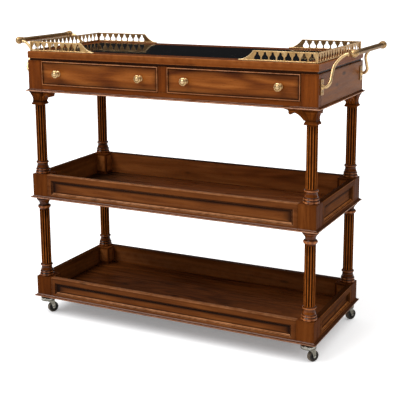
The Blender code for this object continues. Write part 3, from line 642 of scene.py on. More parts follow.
# The bead: inset, depth, and the tones of the foot, the ends and the head
# Its tones paint a highlight along the bead's foot and shade under its head and along its ends
bead_rows = [
    (-4, 0, 0, 0, 0), (-1.2, 0, 0.1, 0.15, -0.1), (0, 0.2, 0.8, 0.5, -0.3), (0.3, 1.4, 0, -0.9, -1),
    (0.6, 2.6, -1, -1, -1), (1.4, 2.8, -0.7, -1, -1), (2, 2, 0.9, -0.4, -0.8), (2.6, 1.7, 1.2, 0, -0.4),
    (3.2, 2, 1.2, -0.1, -0.5), (3.8, 3.1, -0.5, -1, -1), (4.6, 3.4, 0.2, -1, -1),
    (5.4, 3.8, 1.2, -0.4, -0.9), (6.2, 4.8, 1.1, -0.5, -1), (7, 6.3, 0.3, -0.9, -1),
    (7.7, 7.3, -0.9, -1, -1),
]
# The sunk field: inset of the ends, inset of the foot and head, and the same three tones
# Its tones paint the shade that the bead casts into the field near its edges
field_rows = [
    (8.6, 8.4, -0.8, -1, -1), (14, 10, -0.3, -0.85, -0.9), (22, 12.5, 0, -0.5, -0.5),
    (38, 15, 0.1, -0.1, -0.15), (60, 16, 0.1, 0, 0),
]
field_depth = 7.5
panel_end_margin = 0.014


def panelled_rail(form, side, z, height, top_margin, bottom_margin, seed):
    """A rail with a bead round a sunk panel; the rows of its edge read as those of the bead."""
    half_rail = sides_round[side][2] - post_side - gap
    half_panel = half_rail - panel_end_margin
    panel_top = height - top_margin
    # The rail's top edge carries a painted highlight on the front rail and painted shade on the others; its
    # inner face, the first rows, is a little lighter: painted light
    painted_top_edge_tone = 0.55 if side == "front" else -0.85
    edge_rows = [
        (16, 19, 0.1, 0.1, 0.1), (4, 19, -0.2, -0.1, -0.3), (1, 19, -0.1, 0, -0.5),
        (0.3, 18.7, 0, 0.1, painted_top_edge_tone), (0, 18, 0, 0, painted_top_edge_tone), (0, 1, 0, 0, painted_top_edge_tone),
        (0.3, 0.3, 0, 0, 0.8), (1, 0, -0.1, -0.1, 0.4), (3.4, 0, -0.15, -0.15, -0.25), (8, 0, 0, 0, 0),
    ]
    steps = []
    for inset, depth, *tones in edge_rows:
        steps.append(framed(half_rail, gap, height, inset, inset, depth, *tones))
    for inset, depth, *tones in bead_rows:
        steps.append(framed(half_panel, bottom_margin, panel_top, inset, inset, depth, *tones))
    for inset_x, inset_z, *tones in field_rows:
        steps.append(framed(half_panel, bottom_margin, panel_top, inset_x, inset_z, field_depth, *tones))
    form.skin(steps, seed, side_matrix(side, z))


# Tones along x, as (x, tone), which make the wood darker towards the left
floor_tones_along_x = {
    "low_tray": [(-0.49, -0.55), (-0.43, -0.2), (-0.3, 0), (0.05, 0), (0.3, 0.25), (0.49, 0.35)],
    "mid_tray": [(-0.49, -1.3), (-0.4, -1), (-0.28, -0.45), (-0.12, 0), (0.2, 0.1), (0.49, 0.15)],
}
front_rail_tones_along_x = {
    "low_tray": [(-0.45, -0.38), (-0.2, -0.2), (0.45, -0.18)],
    "mid_tray": [(-0.45, -0.15), (-0.2, -0.06), (0.45, -0.04)],
}


def tone_along_x(form, x_tones):
    """Cuts the form across at each x and adds the tone given there, in between by share."""
    for x, _ in x_tones:
        everything = form.bm.verts[:] + form.bm.edges[:] + form.bm.faces[:]
        bmesh.ops.bisect_plane(form.bm, geom=everything, plane_co=(x, 0, 0), plane_no=(1, 0, 0))
    for vert in form.bm.verts:
        for (low_x, low_tone), (high_x, high_tone) in zip(x_tones, x_tones[1:]):
            if low_x <= vert.co.x <= high_x:
                share = (vert.co.x - low_x) / (high_x - low_x)
                vert[form.tone] += low_tone + (high_tone - low_tone) * share
                break


def tray_floor(form, z, seed):
    """Five boards laid lengthwise: the outer two stop at the posts, the inner three at the rails."""
    edge_y = half_depth - rail_thickness - gap / 2
    seams = (-edge_y, -0.15665, -0.05285, 0.05275, 0.15665, edge_y)
    outer_x = half_length - post_side - gap
    inner_x = half_length - rail_thickness - gap
    for n, half_x in enumerate((outer_x, inner_x, inner_x, inner_x, outer_x)):
        low = (-half_x, seams[n] + gap / 2, z + 0.003)
        high = (half_x, seams[n + 1] - gap / 2, z + 0.01)
        form.board(low, high, seed + 3.1 * n, 0.0004, -0.35, -0.08)


def build_tray(prefix, z, height, top_margin, bottom_margin, seed):
    for n, side in enumerate(sides_round):
        form = Form()
        panelled_rail(form, side, z, height, top_margin, bottom_margin, seed + 2.3 * n)
        if side == "front":
            tone_along_x(form, front_rail_tones_along_x[prefix])
        material = tray_x if side in ("front", "back") else tray_y
        finished(f"{prefix}_panelled_rail_{side}", form, material, f"{prefix}_rail_{side}", sharp=50)
    if prefix == "mid_tray":
        # A lighter facing on the inside of the back rail: painted light on a face that the case above shades
        form = Form()
        low = (-0.4476, rail_thickness, 0.0105)
        high = (0.4476, rail_thickness + 0.0002, height - 0.0018)
        form.board(low, high, seed + 9, 0, 0.1, -0.1, matrix=side_matrix("back", z))
        finished(f"{prefix}_inside_face_back", form, lit_inside_wood, f"{prefix}_rail_back")
    form = Form()
    tray_floor(form, z, seed + 13.7)
    tone_along_x(form, floor_tones_along_x[prefix])
    finished(f"{prefix}_planked_floor", form, floor_woods[prefix], f"{prefix}_floor")


build_tray("low_tray", low_z, low_height, 0.018, 0.015, 21)
build_tray("mid_tray", mid_z, mid_height, 0.0185, 0.0155, 47)


# Columns, made about their own axis with the tray's underside at height 0

base_height = 0.043
turned_cap_height = 0.041
capital_height = 0.046
turned_radius = 0.0245
shaft_radius = 0.0172
lower_top = mid_z - low_z
upper_top = case_z - mid_z
# Rings as shares of the height and of turned_radius, with painted highlights on the tori and painted shade in
# the hollows
base_rings = [
    (0, 0.94, -0.9), (0.02, 0.975, -0.4), (0.055, 1, 0), (0.11, 1.012, 0.8), (0.165, 1, 0.4),
    (0.21, 0.955, -0.3), (0.232, 0.9, -0.8), (0.25, 0.88, -1), (0.268, 0.895, -0.6), (0.29, 0.935, 0),
    (0.325, 0.96, 0.9), (0.37, 0.955, 0.3), (0.405, 0.92, -0.2), (0.425, 0.87, -0.7), (0.44, 0.845, -1),
    (0.46, 0.85, -0.4), (0.51, 0.83, 0), (0.58, 0.79, 0), (0.66, 0.75, -0.1), (0.74, 0.735, -0.2),
    (0.8, 0.745, -0.3), (0.83, 0.77, -0.8), (0.85, 0.83, 0.2), (0.88, 0.865, 0.8), (0.92, 0.865, 0.7),
    (0.955, 0.83, 0.1), (0.975, 0.77, -0.7), (0.99, 0.72, -1), (1, 0.7, -1),
]
cap_rings = [
    (0, 0.7, -1), (0.03, 0.73, -0.6), (0.07, 0.81, 0.2), (0.13, 0.89, 0.7), (0.19, 0.925, 1),
    (0.25, 0.905, 0.7), (0.3, 0.85, 0), (0.335, 0.77, -0.8), (0.36, 0.7, -1), (0.39, 0.68, -0.5),
    (0.43, 0.665, -0.3), (0.48, 0.67, -0.3), (0.54, 0.7, -0.2), (0.6, 0.745, -0.2), (0.66, 0.81, -0.2),
    (0.72, 0.89, -0.1), (0.77, 0.97, 0), (0.81, 1.02, 0.1), (0.84, 1.04, 0.1), (0.87, 1.04, -0.2),
    (0.885, 1.01, -0.8), (0.9, 1.005, -0.8), (0.915, 1.04, 0), (0.96, 1.05, 0.1), (1, 1.045, -0.6),
]
# Painted shade for each corner's column, darker for the columns that stand in shadow
patina_and_shade = {"front_left": -0.35, "front_right": 0, "back_right": -0.15, "back_left": -0.5}


def lobes(count, spans, depth, shade=0):
    """Carved lobes round each span of rings, given as its first and last ring, with painted shade in the
    valleys and a painted highlight on the crowns.
    """
    def wave(n, angle):
        swell = 0
        for first, last in spans:
            if first <= n <= last:
                swell = math.sin(math.pi * (n - first + 1) / (last - first + 2))
        valley = (1 - abs(math.cos(angle * count / 2))) ** 1.6
        return -depth * valley * swell, (0.25 - 1 * valley) * swell + shade
    return wave


def turned(form, low, height, rings, sides, seed, matrix, wave):
    scaled = [(low + height * up, turned_radius * out, tone) for up, out, tone in rings]
    form.lathe(scaled, sides, seed, matrix, wave)


def foot(form, low, seed, matrix, shade):
    turned(form, low, base_height, base_rings, 72, seed, matrix, lobes(9, ((1, 5), (9, 12)), 0.0016, shade))


def shaft(form, low, high, seed, matrix, shade):
    """A shaft with twelve flutes, which run out in a round end near its foot and head."""
    start = low + 0.0012
    end = high - 0.003
    levels = [(low, 0), (start - 0.0008, 0), (start, 0.25), (start + 0.0014, 0.75), (start + 0.004, 1)]
    count = 6
    for n in range(1, count):
        levels.append((start + 0.004 + (end - start - 0.008) * n / count, 1))
    levels += [(end - 0.004, 1), (end - 0.0014, 0.75), (end, 0.25), (end + 0.0008, 0), (high, 0)]

    def flutes(n, angle):
        across = (angle / math.tau * 12) % 1 - 0.5
        hollow = math.sqrt(max(0, 1 - (across / 0.34) ** 2))
        depth = levels[n][1]
        # Painted shade in the flutes' hollows and painted highlights on the ribs between them
        return -0.0024 * hollow * depth, (0.8 - 2 * hollow) * depth + shade * 0.5

    rings = [(z, shaft_radius, -0.3 if z > high - 0.025 else 0) for z, depth in levels]
    form.lathe(rings, 96, seed, matrix, flutes)


def corner_block(name, block_height, seed, matrix, replaced, body):
    """The square block in a tray's corner, with a board let into its inner half whose inner faces carry
    painted light in their middle and painted shade along their edges.
    """
    far = post_side - column_inset
    form = Form()
    low = (-column_inset, -column_inset, gap)
    form.board(low, (far, far, block_height), seed, 0.001, 0.3, -0.3, matrix=matrix)
    low = (-0.024, -0.024, 0.012)
    high = (far + 0.0002, far + 0.0002, block_height - 0.0003)
    form.board(low, high, seed + 0.3, 0.0008, 0.2, -0.9, body, matrix=matrix)
    finished(name, form, block_wood, replaced)


def square_loop(half_side, height, points=48):
    loop = []
    for k in range(points):
        x = math.cos(math.tau * k / points)
        y = math.sin(math.tau * k / points)
        reach = half_side / max(abs(x), abs(y))
        loop.append((x * reach, y * reach, height))
    return loop


# A square capital's collar, from its foot up, and abacus, from its head down: height, half side, tone
collar_rows = [
    (0, 18, -1), (0.6, 19.6, -0.6), (1.6, 20.5, 0.1), (3.4, 20.5, 0.1), (5.2, 19.8, -0.1),
    (7.2, 18.8, -0.3), (9.2, 17.8, -0.4), (10.8, 17.2, -0.5), (12, 17, -0.9), (13.4, 17.2, -0.6),
    (14.8, 16.8, -0.6),
]
abacus_rows = [
    (-4.6, 23, -1), (-3.8, 23.6, -0.8), (-3.4, 24.8, -0.2), (-2.8, 25, -0.1), (-0.6, 25, -0.3),
    (0, 24.7, -0.6),
]


def square_capital(form, low, high, seed, matrix, shade):
    """A square collar and neck, then a bell that flares to the abacus with a leaf on each face."""
    loops = []

    def plain(level, rows):
        for up, half, tone in mm(rows):
            loops.append([(*place, tone + shade) for place in square_loop(half, level + up)])

    plain(low, collar_rows)
    bell_low = low + 0.0156
    bell_high = high - 0.0052
    count = 11
    for n in range(count + 1):
        v = n / count
        half = 0.0166 + 0.0072 * (0.12 * v + 0.88 * v ** 2.2)
        width = 0.4 + 0.45 * v ** 0.7
        lip = max(0, 1 - abs(v - 0.8) / 0.12)
        loop = []
        for x, y, z in square_loop(half, bell_low + (bell_high - bell_low) * v):
            u = (y if abs(x) >= abs(y) else x) / half
            inside = max(0, 1 - abs(u) / width)
            leaf = min(1, inside * 3.2) * math.sin(math.pi * min(1, 0.12 + v * 0.9)) ** 0.5
            vein = max(0, 1 - abs(u) / 0.09)
            edge = max(0, 1 - abs(abs(u) - width) / 0.16)
            grow = 0.0017 * leaf - 0.001 * vein * leaf
            reach = min(1 + grow / half, 0.0249 / half)
            # The leaf and its curled lip are lighter, worn and with a painted highlight; painted shade beside
            # the leaf and in its vein
            worn_and_lit = (0.3 + 0.5 * lip) * leaf
            tone = worn_and_lit - 0.4 * edge * (1 - leaf) - 0.35 * vein * leaf - 0.22 + shade
            loop.append((x * reach, y * reach, z, tone))
        loops.append(loop)
    plain(high, abacus_rows)
    form.skin(loops, seed, matrix)


# A bracket's under side and the spine of its leaf, as shares of its reach and of the capital's height
bracket_half_width = 0.014
bracket_reaches = (0.061, 0.085)
bracket_shares = [
    (1, 0), (1, 0.05), (0.93, 0.095), (0.86, 0.13), (0.838, 0.2), (0.835, 0.29), (0.815, 0.37),
    (0.775, 0.42), (0.735, 0.4), (0.705, 0.33), (0.66, 0.28), (0.57, 0.31), (0.48, 0.39), (0.39, 0.5),
    (0.32, 0.62), (0.27, 0.75),
]
leaf_shares = [
    (0.34, 0.44), (0.42, 0.34), (0.52, 0.24), (0.64, 0.17), (0.74, 0.19), (0.78, 0.27), (0.745, 0.32),
]


def bracket(form, reach, high, seed, matrix):
    """A scrolled bracket, its under side reeded across and rising to each edge."""
    def drawn(shares, y, steps):
        places = [Vector((reach * x, y, high - capital_height * down)) for x, down in shares]
        return smooth_path(places, steps)

    inner_x = 0.01
    root = Vector((inner_x, 0, high - capital_height * bracket_shares[-1][1]))
    outline = [Vector((inner_x, 0, high))] + drawn(bracket_shares, 0, 3) + [root]
    loops = []
    count = 14
    centre = Vector((reach * 0.45, 0, high - 0.008))
    for n in range(count + 1):
        t = n / count * 2 - 1
        rim = max(0, (abs(t) - 0.86) / 0.14)
        reed = math.cos(t * math.pi * 3)
        loop = []
        for k, place in enumerate(outline):
            free = 2 <= k <= len(outline) - 2
            pull = 0.0007 * rim + 0.00075 * (0.5 - 0.5 * reed) * (1 - rim) if free else 0
            spot = place + (centre - place).normalized() * pull
            # Painted highlights on the reeds and along the edges, painted shade between the reeds
            if abs(t) > 0.99:
                tone = 0.15
            elif free:
                tone = 0.75 if rim > 0 else 0.55 * reed - 0.1
            else:
                tone = -0.2
            loop.append((spot.x, bracket_half_width * t, spot.z, tone))
        loops.append(loop)
    form.skin(loops, seed, matrix)
    # A raised leaf on each cheek, along the scroll, lightened with a painted highlight
    for y in (0.0001 - bracket_half_width, bracket_half_width - 0.0001):
        path = drawn(leaf_shares, y, 4)
        last = len(path) - 1
        swells = [math.sin(math.pi * min(1, 0.15 + 0.75 * k / last)) for k in range(last + 1)]
        form.tube(path, [0.0006 + 0.0013 * swell for swell in swells], 8, 0.6, seed, matrix)


def lower_column(corner, seed, shade):
    node = f"lower_column_{corner}"
    matrix = corner_matrix(corner, low_z)
    cap_low = lower_top - turned_cap_height
    corner_block(f"low_corner_block_{corner}", low_height, seed + 0.4, matrix, node, 0.42)
    form = Form()
    shaft(form, low_height + base_height, cap_low, seed + 1.1, matrix, shade)
    finished(f"lower_column_shaft_{corner}", form, column_wood, node, sharp=52)
    form = Form()
    foot(form, low_height, seed + 0.7, matrix, shade)
    wave = lobes(9, ((2, 6),), 0.002, shade)
    turned(form, cap_low, turned_cap_height, cap_rings, 60, seed + 1.9, matrix, wave)
    finished(f"lower_column_turned_{corner}", form, turned_wood, node, sharp=52)


def upper_column(corner, seed, shade):
    node = f"upper_column_{corner}"
    matrix = corner_matrix(corner, mid_z)
    capital_low = upper_top - capital_height
    corner_block(f"mid_corner_block_{corner}", mid_height, seed + 0.9, matrix, node, 0.6)
    form = Form()
    foot(form, mid_height, seed + 3.3, matrix, shade)
    finished(f"upper_column_turned_{corner}", form, turned_wood, node, sharp=52)
    form = Form()
    shaft(form, mid_height + base_height, capital_low, seed + 3.3, matrix, shade)
    square_capital(form, capital_low, upper_top, seed + 5, matrix, shade)
    for n, reach in enumerate(bracket_reaches):
        bracket(form, reach, upper_top, seed + 6.1 + 1.6 * n, matrix @ rotated(quarter * n))
    finished(f"upper_column_carved_{corner}", form, column_wood, node, sharp=52)


for n, corner in enumerate(corners):
    lower_column(corner, 61 + 4.3 * n, patina_and_shade[corner])
    upper_column(corner, 61 + 4.3 * n, patina_and_shade[corner])


# Case

front_y = -half_depth
frame_thickness = 0.02
side_thickness = 0.018
back_thickness = 0.012
opening_x = 0.452
half_centre_stile = 0.0155
lap = 0.0001
foot_z = case_z + gap
# The stiles' darker rims paint the shade along their edges
form = Form()
for n, sign in enumerate((-1, 1)):
    edges = sorted((sign * half_length, sign * (opening_x + lap)))
    high = (edges[1], front_y + frame_thickness, cleat_z)
    form.board((edges[0], front_y, foot_z), high, 91 + 2.7 * n, rim=-0.55, body=0.02)
high = (half_centre_stile, front_y + frame_thickness, cleat_z)
form.board((-half_centre_stile, front_y, sill_z), high, 99, rim=-0.5)
finished("case_stiles", form, wood_z, "case_front_frame")
form = Form()
low = (lap - opening_x, front_y + 0.0002, foot_z)
form.board(low, (opening_x - lap, front_y + frame_thickness, sill_z), 103)
finished("case_bottom_rail", form, wood_x, "case_front_frame")
for n, (side, sign) in enumerate((("left", -1), ("right", 1))):
    form = Form()
    edges = sorted((sign * half_length, sign * (half_length - side_thickness)))
    low = (edges[0], front_y + frame_thickness + gap, foot_z)
    # The end's darker rim is painted shade along its edges
    form.board(low, (edges[1], half_depth, cleat_z), 107 + 3.1 * n, rim=-0.75)
    finished(f"case_end_{side}", form, end_sheen_wood, f"case_side_{side}")
form = Form()
back_x = half_length - side_thickness - gap
form.board((-back_x, half_depth - back_thickness, foot_z), (back_x, half_depth, cleat_z), 117)
finished("case_back_board", form, wood_x, "case_back")
dress("case_bottom", lining)


# Drawers

knob_length = 0.0235
knob_radius = 0.013
knob_offset = 0.154
# A rosette's rings as shares of its length and radius, with painted shade in its hollows and painted
# highlights on its rims
knob_shares = [
    (0, 0.74, -0.5), (0.03, 0.77, 0.4), (0.08, 0.77, 0.5), (0.12, 0.7, 0), (0.17, 0.5, -0.6),
    (0.24, 0.4, -0.6), (0.34, 0.36, -0.2), (0.43, 0.4, -0.4), (0.5, 0.6, -0.6), (0.56, 0.84, -0.1),
    (0.62, 0.97, 0.3), (0.68, 1, 0.5), (0.75, 0.98, 0.5), (0.81, 0.9, 0.3), (0.855, 0.78, 0.1),
    (0.865, 0.66, -0.6), (0.85, 0.58, -0.9), (0.86, 0.52, -0.7), (0.9, 0.48, 0.2), (0.94, 0.42, 0.5),
    (0.975, 0.3, 0.7), (0.995, 0.15, 0.8), (1, 0.04, 0.8),
]
# The cock bead and the face: inset, how proud it stands, tone of the foot and ends, tone of the head
# The bead's tones paint highlights on it and shade in the quirk behind it
drawer_rows = [
    (0, -18.5, 0, 0), (0, 0.4, -0.8, -0.9), (0.1, 1.2, -0.1, 0), (0.5, 2, 0.4, 0.7), (1.1, 2.5, 0.6, 1),
    (1.8, 2.6, 0.6, 0.7), (2.5, 2.3, 0.3, 0.1), (3.1, 1.6, -0.4, -0.3), (3.4, 0.8, -1, -1),
    (3.5, -0.6, -1, -1), (4.6, -0.6, -1, -1), (5, 0, -0.9, -1), (8.5, 0, -0.55, -0.62),
    (15, 0, -0.22, -0.3), (26, 0, 0, -0.04),
]


def drawer(side):
    node = f"{side}_drawer_front"
    body = f"{side}_drawer"
    low_x, high_x = edge_of(node, 0, 0), edge_of(node, 1, 0)
    low, high = edge_of(node, 0), edge_of(node, 1)
    centre = (low_x + high_x) / 2
    half_width = (high_x - low_x) / 2
    steps = []
    for inset, proud, tone, head in drawer_rows:
        steps.append(framed(half_width, low, high, inset, inset, -proud, tone, tone, head))
    form = Form()
    form.skin(steps, 131 + centre * 40, moved(centre, front_y, 0))
    finished(f"{side}_drawer_face", form, flame, node, body, 60)
    rings = [(knob_length * out, knob_radius * share, tone) for out, share, tone in knob_shares]
    for end, sign in (("left", -1), ("right", 1)):
        form = Form()
        spot = moved(centre + sign * knob_offset, front_y - gap, (low + high) / 2) @ rotated(quarter, "X")
        form.lathe(rings, 60, 0, spot, lobes(10, ((9, 15),), 0.0009))
        finished(f"{side}_drawer_rosette_{end}", form, brass, f"{side}_drawer_knob_{end}", body, 60)
    dress(f"{side}_drawer_box", lining)


drawer("left")
drawer("right")


# Galleries

# Half the width of an opening between two balusters, in pitches, at each share of its height
opening_shares = [
    (0, 0.3), (0.04, 0.36), (0.1, 0.4), (0.2, 0.42), (0.32, 0.41), (0.43, 0.37), (0.52, 0.305),
    (0.6, 0.235), (0.68, 0.185), (0.78, 0.155), (0.9, 0.14), (0.96, 0.12), (1, 0.085),
]
rail_height = 0.0042
gallery_height = 0.031
tip_height = 0.0035
gallery_x = 0.497
gallery_y = 0.206
plate_thickness = 0.0022
lead = 0.003
end_openings = 17
wing_openings = 8
wing_run = 0.193
wing_length = 0.245
band = 0.0034
half_band = 0.0019
half_post = 0.003


def pierced(length, count, tail):
    """The polygons of a plate with a row of openings in it."""
    pitch = length / count
    opening = gallery_height - 2 * rail_height
    lefts = []
    rights = []
    for i in range(count):
        centre = lead + pitch * (i + 0.5)
        lefts.append([(centre - pitch * h, rail_height + opening * up) for up, h in opening_shares])
        rights.append([(centre + pitch * h, rail_height + opening * up) for up, h in opening_shares])
    end = lead + length + tail
    head = lefts[0][-1][1]
    bottom = [(0, rail_height)]
    top = [(0, head)]
    for left, right in zip(lefts, rights):
        bottom += [left[0], right[0]]
        top += [left[-1], right[-1]]
    bottom.append((end, rail_height))
    top.append((end, head))
    polygons = [
        [(0, 0), (end, 0)] + bottom[::-1],
        [(0, gallery_height), (end, gallery_height)] + top[::-1],
        [(0, rail_height)] + lefts[0] + [(0, head)],
        [(end, rail_height)] + rights[-1] + [(end, head)],
    ]
    for right, left in zip(rights, lefts[1:]):
        polygons.append(right + left[::-1])
    return polygons, head


def scroll(start, head, end):
    """The plate from the last opening to the tip, its upper edge falling in a curve."""
    ridge = []
    for k in range(23, 0, -1):
        along = k / 24
        eased = min(1, along / 0.1) * along
        fall = 1 - (1 - eased) ** 2.1
        ridge.append((start + (end - start) * along, gallery_height - (gallery_height - tip_height) * fall))
    outline = [(start, head), (start, rail_height), (start, 0), (end, 0), (end, tip_height)]
    return outline + ridge + [(start, gallery_height)], ridge


def gallery(name, turn):
    """One end: a pierced end rail, two wings whose ends fall in a scroll, and corner posts."""
    place = moved(0, 0, top_z + gap) @ rotated(turn)
    backwards = rotated(math.pi)
    spots = [place @ moved(gallery_x, sign * gallery_y, 0) for sign in (-1, 1)]
    form = Form()
    # The plates are darkened all over: a painted shade that sets off the rails
    end_polygons = pierced(2 * (gallery_y - lead), end_openings, lead)[0]
    form.plate(end_polygons, plate_thickness, -0.25, 0, spots[0] @ rotated(quarter))
    polygons, head = pierced(wing_run, wing_openings, 0)
    tail, ridge = scroll(lead + wing_run, head, wing_length)
    for spot in spots:
        form.plate(polygons + [tail], plate_thickness, -0.2, 0, spot @ backwards)
    finished(f"{name}_pierced", form, brass, name, sharp=40, bevel=0.00045)

    form = Form()
    # The rails, the posts and the scroll's edge are lightened: painted highlights
    bands = ((0, gallery_x - wing_length), (gallery_height - band, gallery_x - lead - wing_run))
    for low, far in bands:
        high = low + band
        corner = (gallery_x + half_band, gallery_y, high)
        form.board((gallery_x - half_band, -gallery_y, low), corner, 0, 0.0011, 0.5, 0.1, matrix=place)
        for sign in (-1, 1):
            near_y, far_y = sorted((sign * (gallery_y - half_band), sign * (gallery_y + half_band)))
            form.board((far, near_y, low), (gallery_x, far_y, high), 0, 0.0011, 0.5, 0.1, matrix=place)
    path = [Vector((x, 0, z - 0.0014)) for x, z in reversed(ridge)]
    start = Vector((wing_run + 0.001, 0, gallery_height - 0.0017))
    path = [start] + path + [Vector((wing_length - 0.0015, 0, 0.0021))]
    radii = [half_band] + [0.0017] * (len(path) - 2) + [half_band]
    for spot in spots:
        corner = (half_post, half_post, gallery_height)
        form.board((-half_post, -half_post, 0), corner, 0, 0.0008, 0.6, 0, matrix=spot)
        form.tube(path, radii, 10, 0.8, 0, spot @ backwards)
    finished(f"{name}_rails", form, brass, name, sharp=50)


gallery("gallery_right", 0)
gallery("gallery_left", math.pi)


# Push handles

bar_x = 0.587
bar_z = 0.9435
ball_y = 0.15
ball_radius = 0.0126
bar_rows = [
    (0, 8.2, -0.6), (20, 8.2, -0.6), (60, 8.3, -0.6), (100, 8.3, -0.5), (118, 8.4, -0.4), (127, 8.5, -0.4),
    (128, 8.4, -0.8), (129, 9.2, 0), (130.2, 10.1, 0.7), (133, 10.4, 0.7), (135.2, 10.2, 0.5),
    (136.4, 9.2, -0.2), (137.4, 8.6, -1), (139.2, 8.8, -0.8),
]
button_rows = [(161.9, 4.8, -0.7), (162, 4.2, -0.5), (162.6, 3.4, 0.5), (162.9, 1.8, 0.7), (163, 0.6, 0.7)]


def handle_bar(side, sign):
    """Half a bar from the middle out, with a ball and a button at its end, and its mirror image."""
    half = mm(bar_rows)
    for k in range(13):
        angle = math.radians(-46 + 112 * k / 12)
        tone = 0.3 if k > 1 else -0.4
        half.append((ball_y + ball_radius * math.sin(angle), ball_radius * math.cos(angle), tone))
    half += mm(button_rows)
    form = Form()
    form.lathe(mirrored(half[1:]) + half, 40, 0, moved(sign * bar_x, 0, bar_z) @ rotated(quarter, "X"))
    finished(f"handle_grip_{side}", form, dark_brass, f"handle_bar_{side}", sharp=60)


plate_y = 0.19
plate_z = 0.848
arm_reach = 0.081
arm_rise = 0.0955
arm_lean = 0.04
backplate = (0.003, 0.0115, 0.0235)
screw_height = 0.0165
# An arm's path as shares of its reach, its rise and its lean inwards
arm_shares = [
    (0.135, 0, 0), (0.205, 0.035, 0.03), (0.255, 0.085, 0.07), (0.285, 0.145, 0.13), (0.294, 0.24, 0.27),
    (0.29, 0.345, 0.42), (0.29, 0.45, 0.58), (0.303, 0.56, 0.75), (0.34, 0.66, 0.87), (0.42, 0.76, 0.94),
    (0.54, 0.86, 0.98), (0.69, 0.95, 1),
]
collar_rings = mm([
    (-6.2, 3.6, -0.8), (-5.8, 5, 0.2), (-4.6, 5.8, 0.7), (-3, 5.8, 0.7), (-1.8, 5.2, 0.2),
    (-1.2, 4.2, -0.7), (-0.6, 4, -0.5),
])
boss_rings = mm([
    (2.8, 9.2, -0.8), (3.6, 9.2, 0.2), (4.6, 8.6, 0.6), (5.4, 7.2, 0.3), (6.4, 6, -0.6), (7.6, 5.8, 0.5),
    (8.8, 5, 0.2),
])
screw_rings = mm([(0, 3.2, -0.9), (0.3, 3.1, -0.2), (0.8, 2.6, 0.5), (1.1, 1.8, 0.6), (1.2, 0.6, 0.6)])


def handle_arm(side, end, sign_x, sign_y):
    """A curved arm from its screwed backplate to the bar's ball, with a boss and a collar at its ends."""
    spot = Matrix.Diagonal((sign_x, sign_y, 1, 1)) @ moved(half_length, plate_y, plate_z)
    outwards = rotated(quarter, "Y")
    path = [Vector((gap + 0.0015, 0, 0))]
    for out, up, inward in arm_shares:
        path.append(Vector((arm_reach * out, -arm_lean * inward, arm_rise * up)))
    ball = Vector((arm_reach, -arm_lean, arm_rise))
    approach = (ball - path[-1]).normalized()
    path.append(ball - approach * 0.0134)
    curve = smooth_path(path, 5)
    last = len(curve) - 1
    form = Form()
    form.tube(curve, [0.0053 - 0.001 * k / last for k in range(last + 1)], 18, 0.5, 0, spot)
    turn = approach.to_track_quat("Z", "Y").to_matrix().to_4x4()
    form.lathe(collar_rings, 28, 0, spot @ Matrix.Translation(path[-1]) @ turn)
    form.lathe(boss_rings, 32, 0, spot @ outwards)
    thick, half_wide, half_high = backplate
    face = gap + thick
    # The backplate is darkened, with a darker rim: painted shade
    form.board((gap, -half_wide, -half_high), (face, half_wide, half_high), 0, 0.0014, 0.5, -0.8, -0.9, spot)
    for up in (-screw_height, screw_height):
        head = spot @ moved(face, 0, up) @ outwards
        form.lathe(screw_rings, 20, 0, head)
        # A dark bar on each screw head stands for its slot: painted shade
        slot = head @ rotated(0.7)
        form.board((-0.0026, -0.0003, 0.0009), (0.0026, 0.0003, 0.00125), 0, 0.0001, -1, -1, -1, slot)
    finished(f"handle_bracket_{side}_{end}", form, brass, f"handle_arm_{side}_{end}", sharp=55)


for side, sign in (("right", 1), ("left", -1)):
    handle_bar(side, sign)
    handle_arm(side, "front", sign, -1)
    handle_arm(side, "back", sign, 1)


# Casters, with their sizes in millimetres

heading = math.radians(56)
trail = 17
wheel_radius = 18
mount_rings = mm([
    (45.2, 2, 0.3), (45.5, 4, 0.4), (46.2, 5.4, 0.2), (47, 5.5, -0.4), (47.2, 3.5, -0.9), (60.8, 3.5, -0.9),
    (60.8, 17.6, -0.6), (61.2, 18.3, 0.2), (62, 18.5, 0.5), (63, 18.3, 0.2), (63.7, 17.6, -0.9),
    (63.8, 22.8, -0.5), (64.1, 23.8, 0.4), (64.8, 24, 0.6), (65.6, 23.9, 0.4), (66, 23.4, 0),
])
# The hood's underside and inside are darkened to -1, a painted shade, and its shoulder lightened, a painted
# highlight
hood_rings = mm([
    (60.5, 3.7, -0.6), (60.5, 15, 0), (60.3, 18.8, 0.1), (59.6, 21.4, 0.3), (58.4, 23.1, 0.4),
    (56.8, 24, 0.8), (55, 24.4, 0.9), (53, 24.4, 0.4), (50, 24.4, -0.5), (47.9, 24.4, -1), (47.6, 23.8, -1),
    (47.9, 22.8, -1), (54, 22.2, -1), (57.5, 19, -1), (58.8, 12, -1), (59, 3.7, -0.6),
])
axle_rings = mm([
    (10.6, 2.1, -0.8), (10.8, 3.8, -0.2), (11.3, 3.9, 0.6), (11.9, 3.4, 0.6), (12.2, 2, 0.6),
    (12.2, 0.6, 0.6),
])
# The tread's tone of 1 makes it paler: dust and a painted highlight
tyre_rings = mm([
    (5.2, 2.4, -0.3), (5.5, 6, 0), (5.5, 9.8, -0.2), (6.6, 10.6, 0.1), (7.4, 11.4, 0.2), (7.5, 14, 0.1),
    (7.4, 15.3, 0.2), (6.8, 16.6, 0.6), (5.6, 17.6, 0.9), (4, 18, 1), (3, 18, 1), (2.6, 17.6, -0.4),
    (2, 17.6, -0.4), (1.6, 18, 1), (0.4, 18, 1),
])
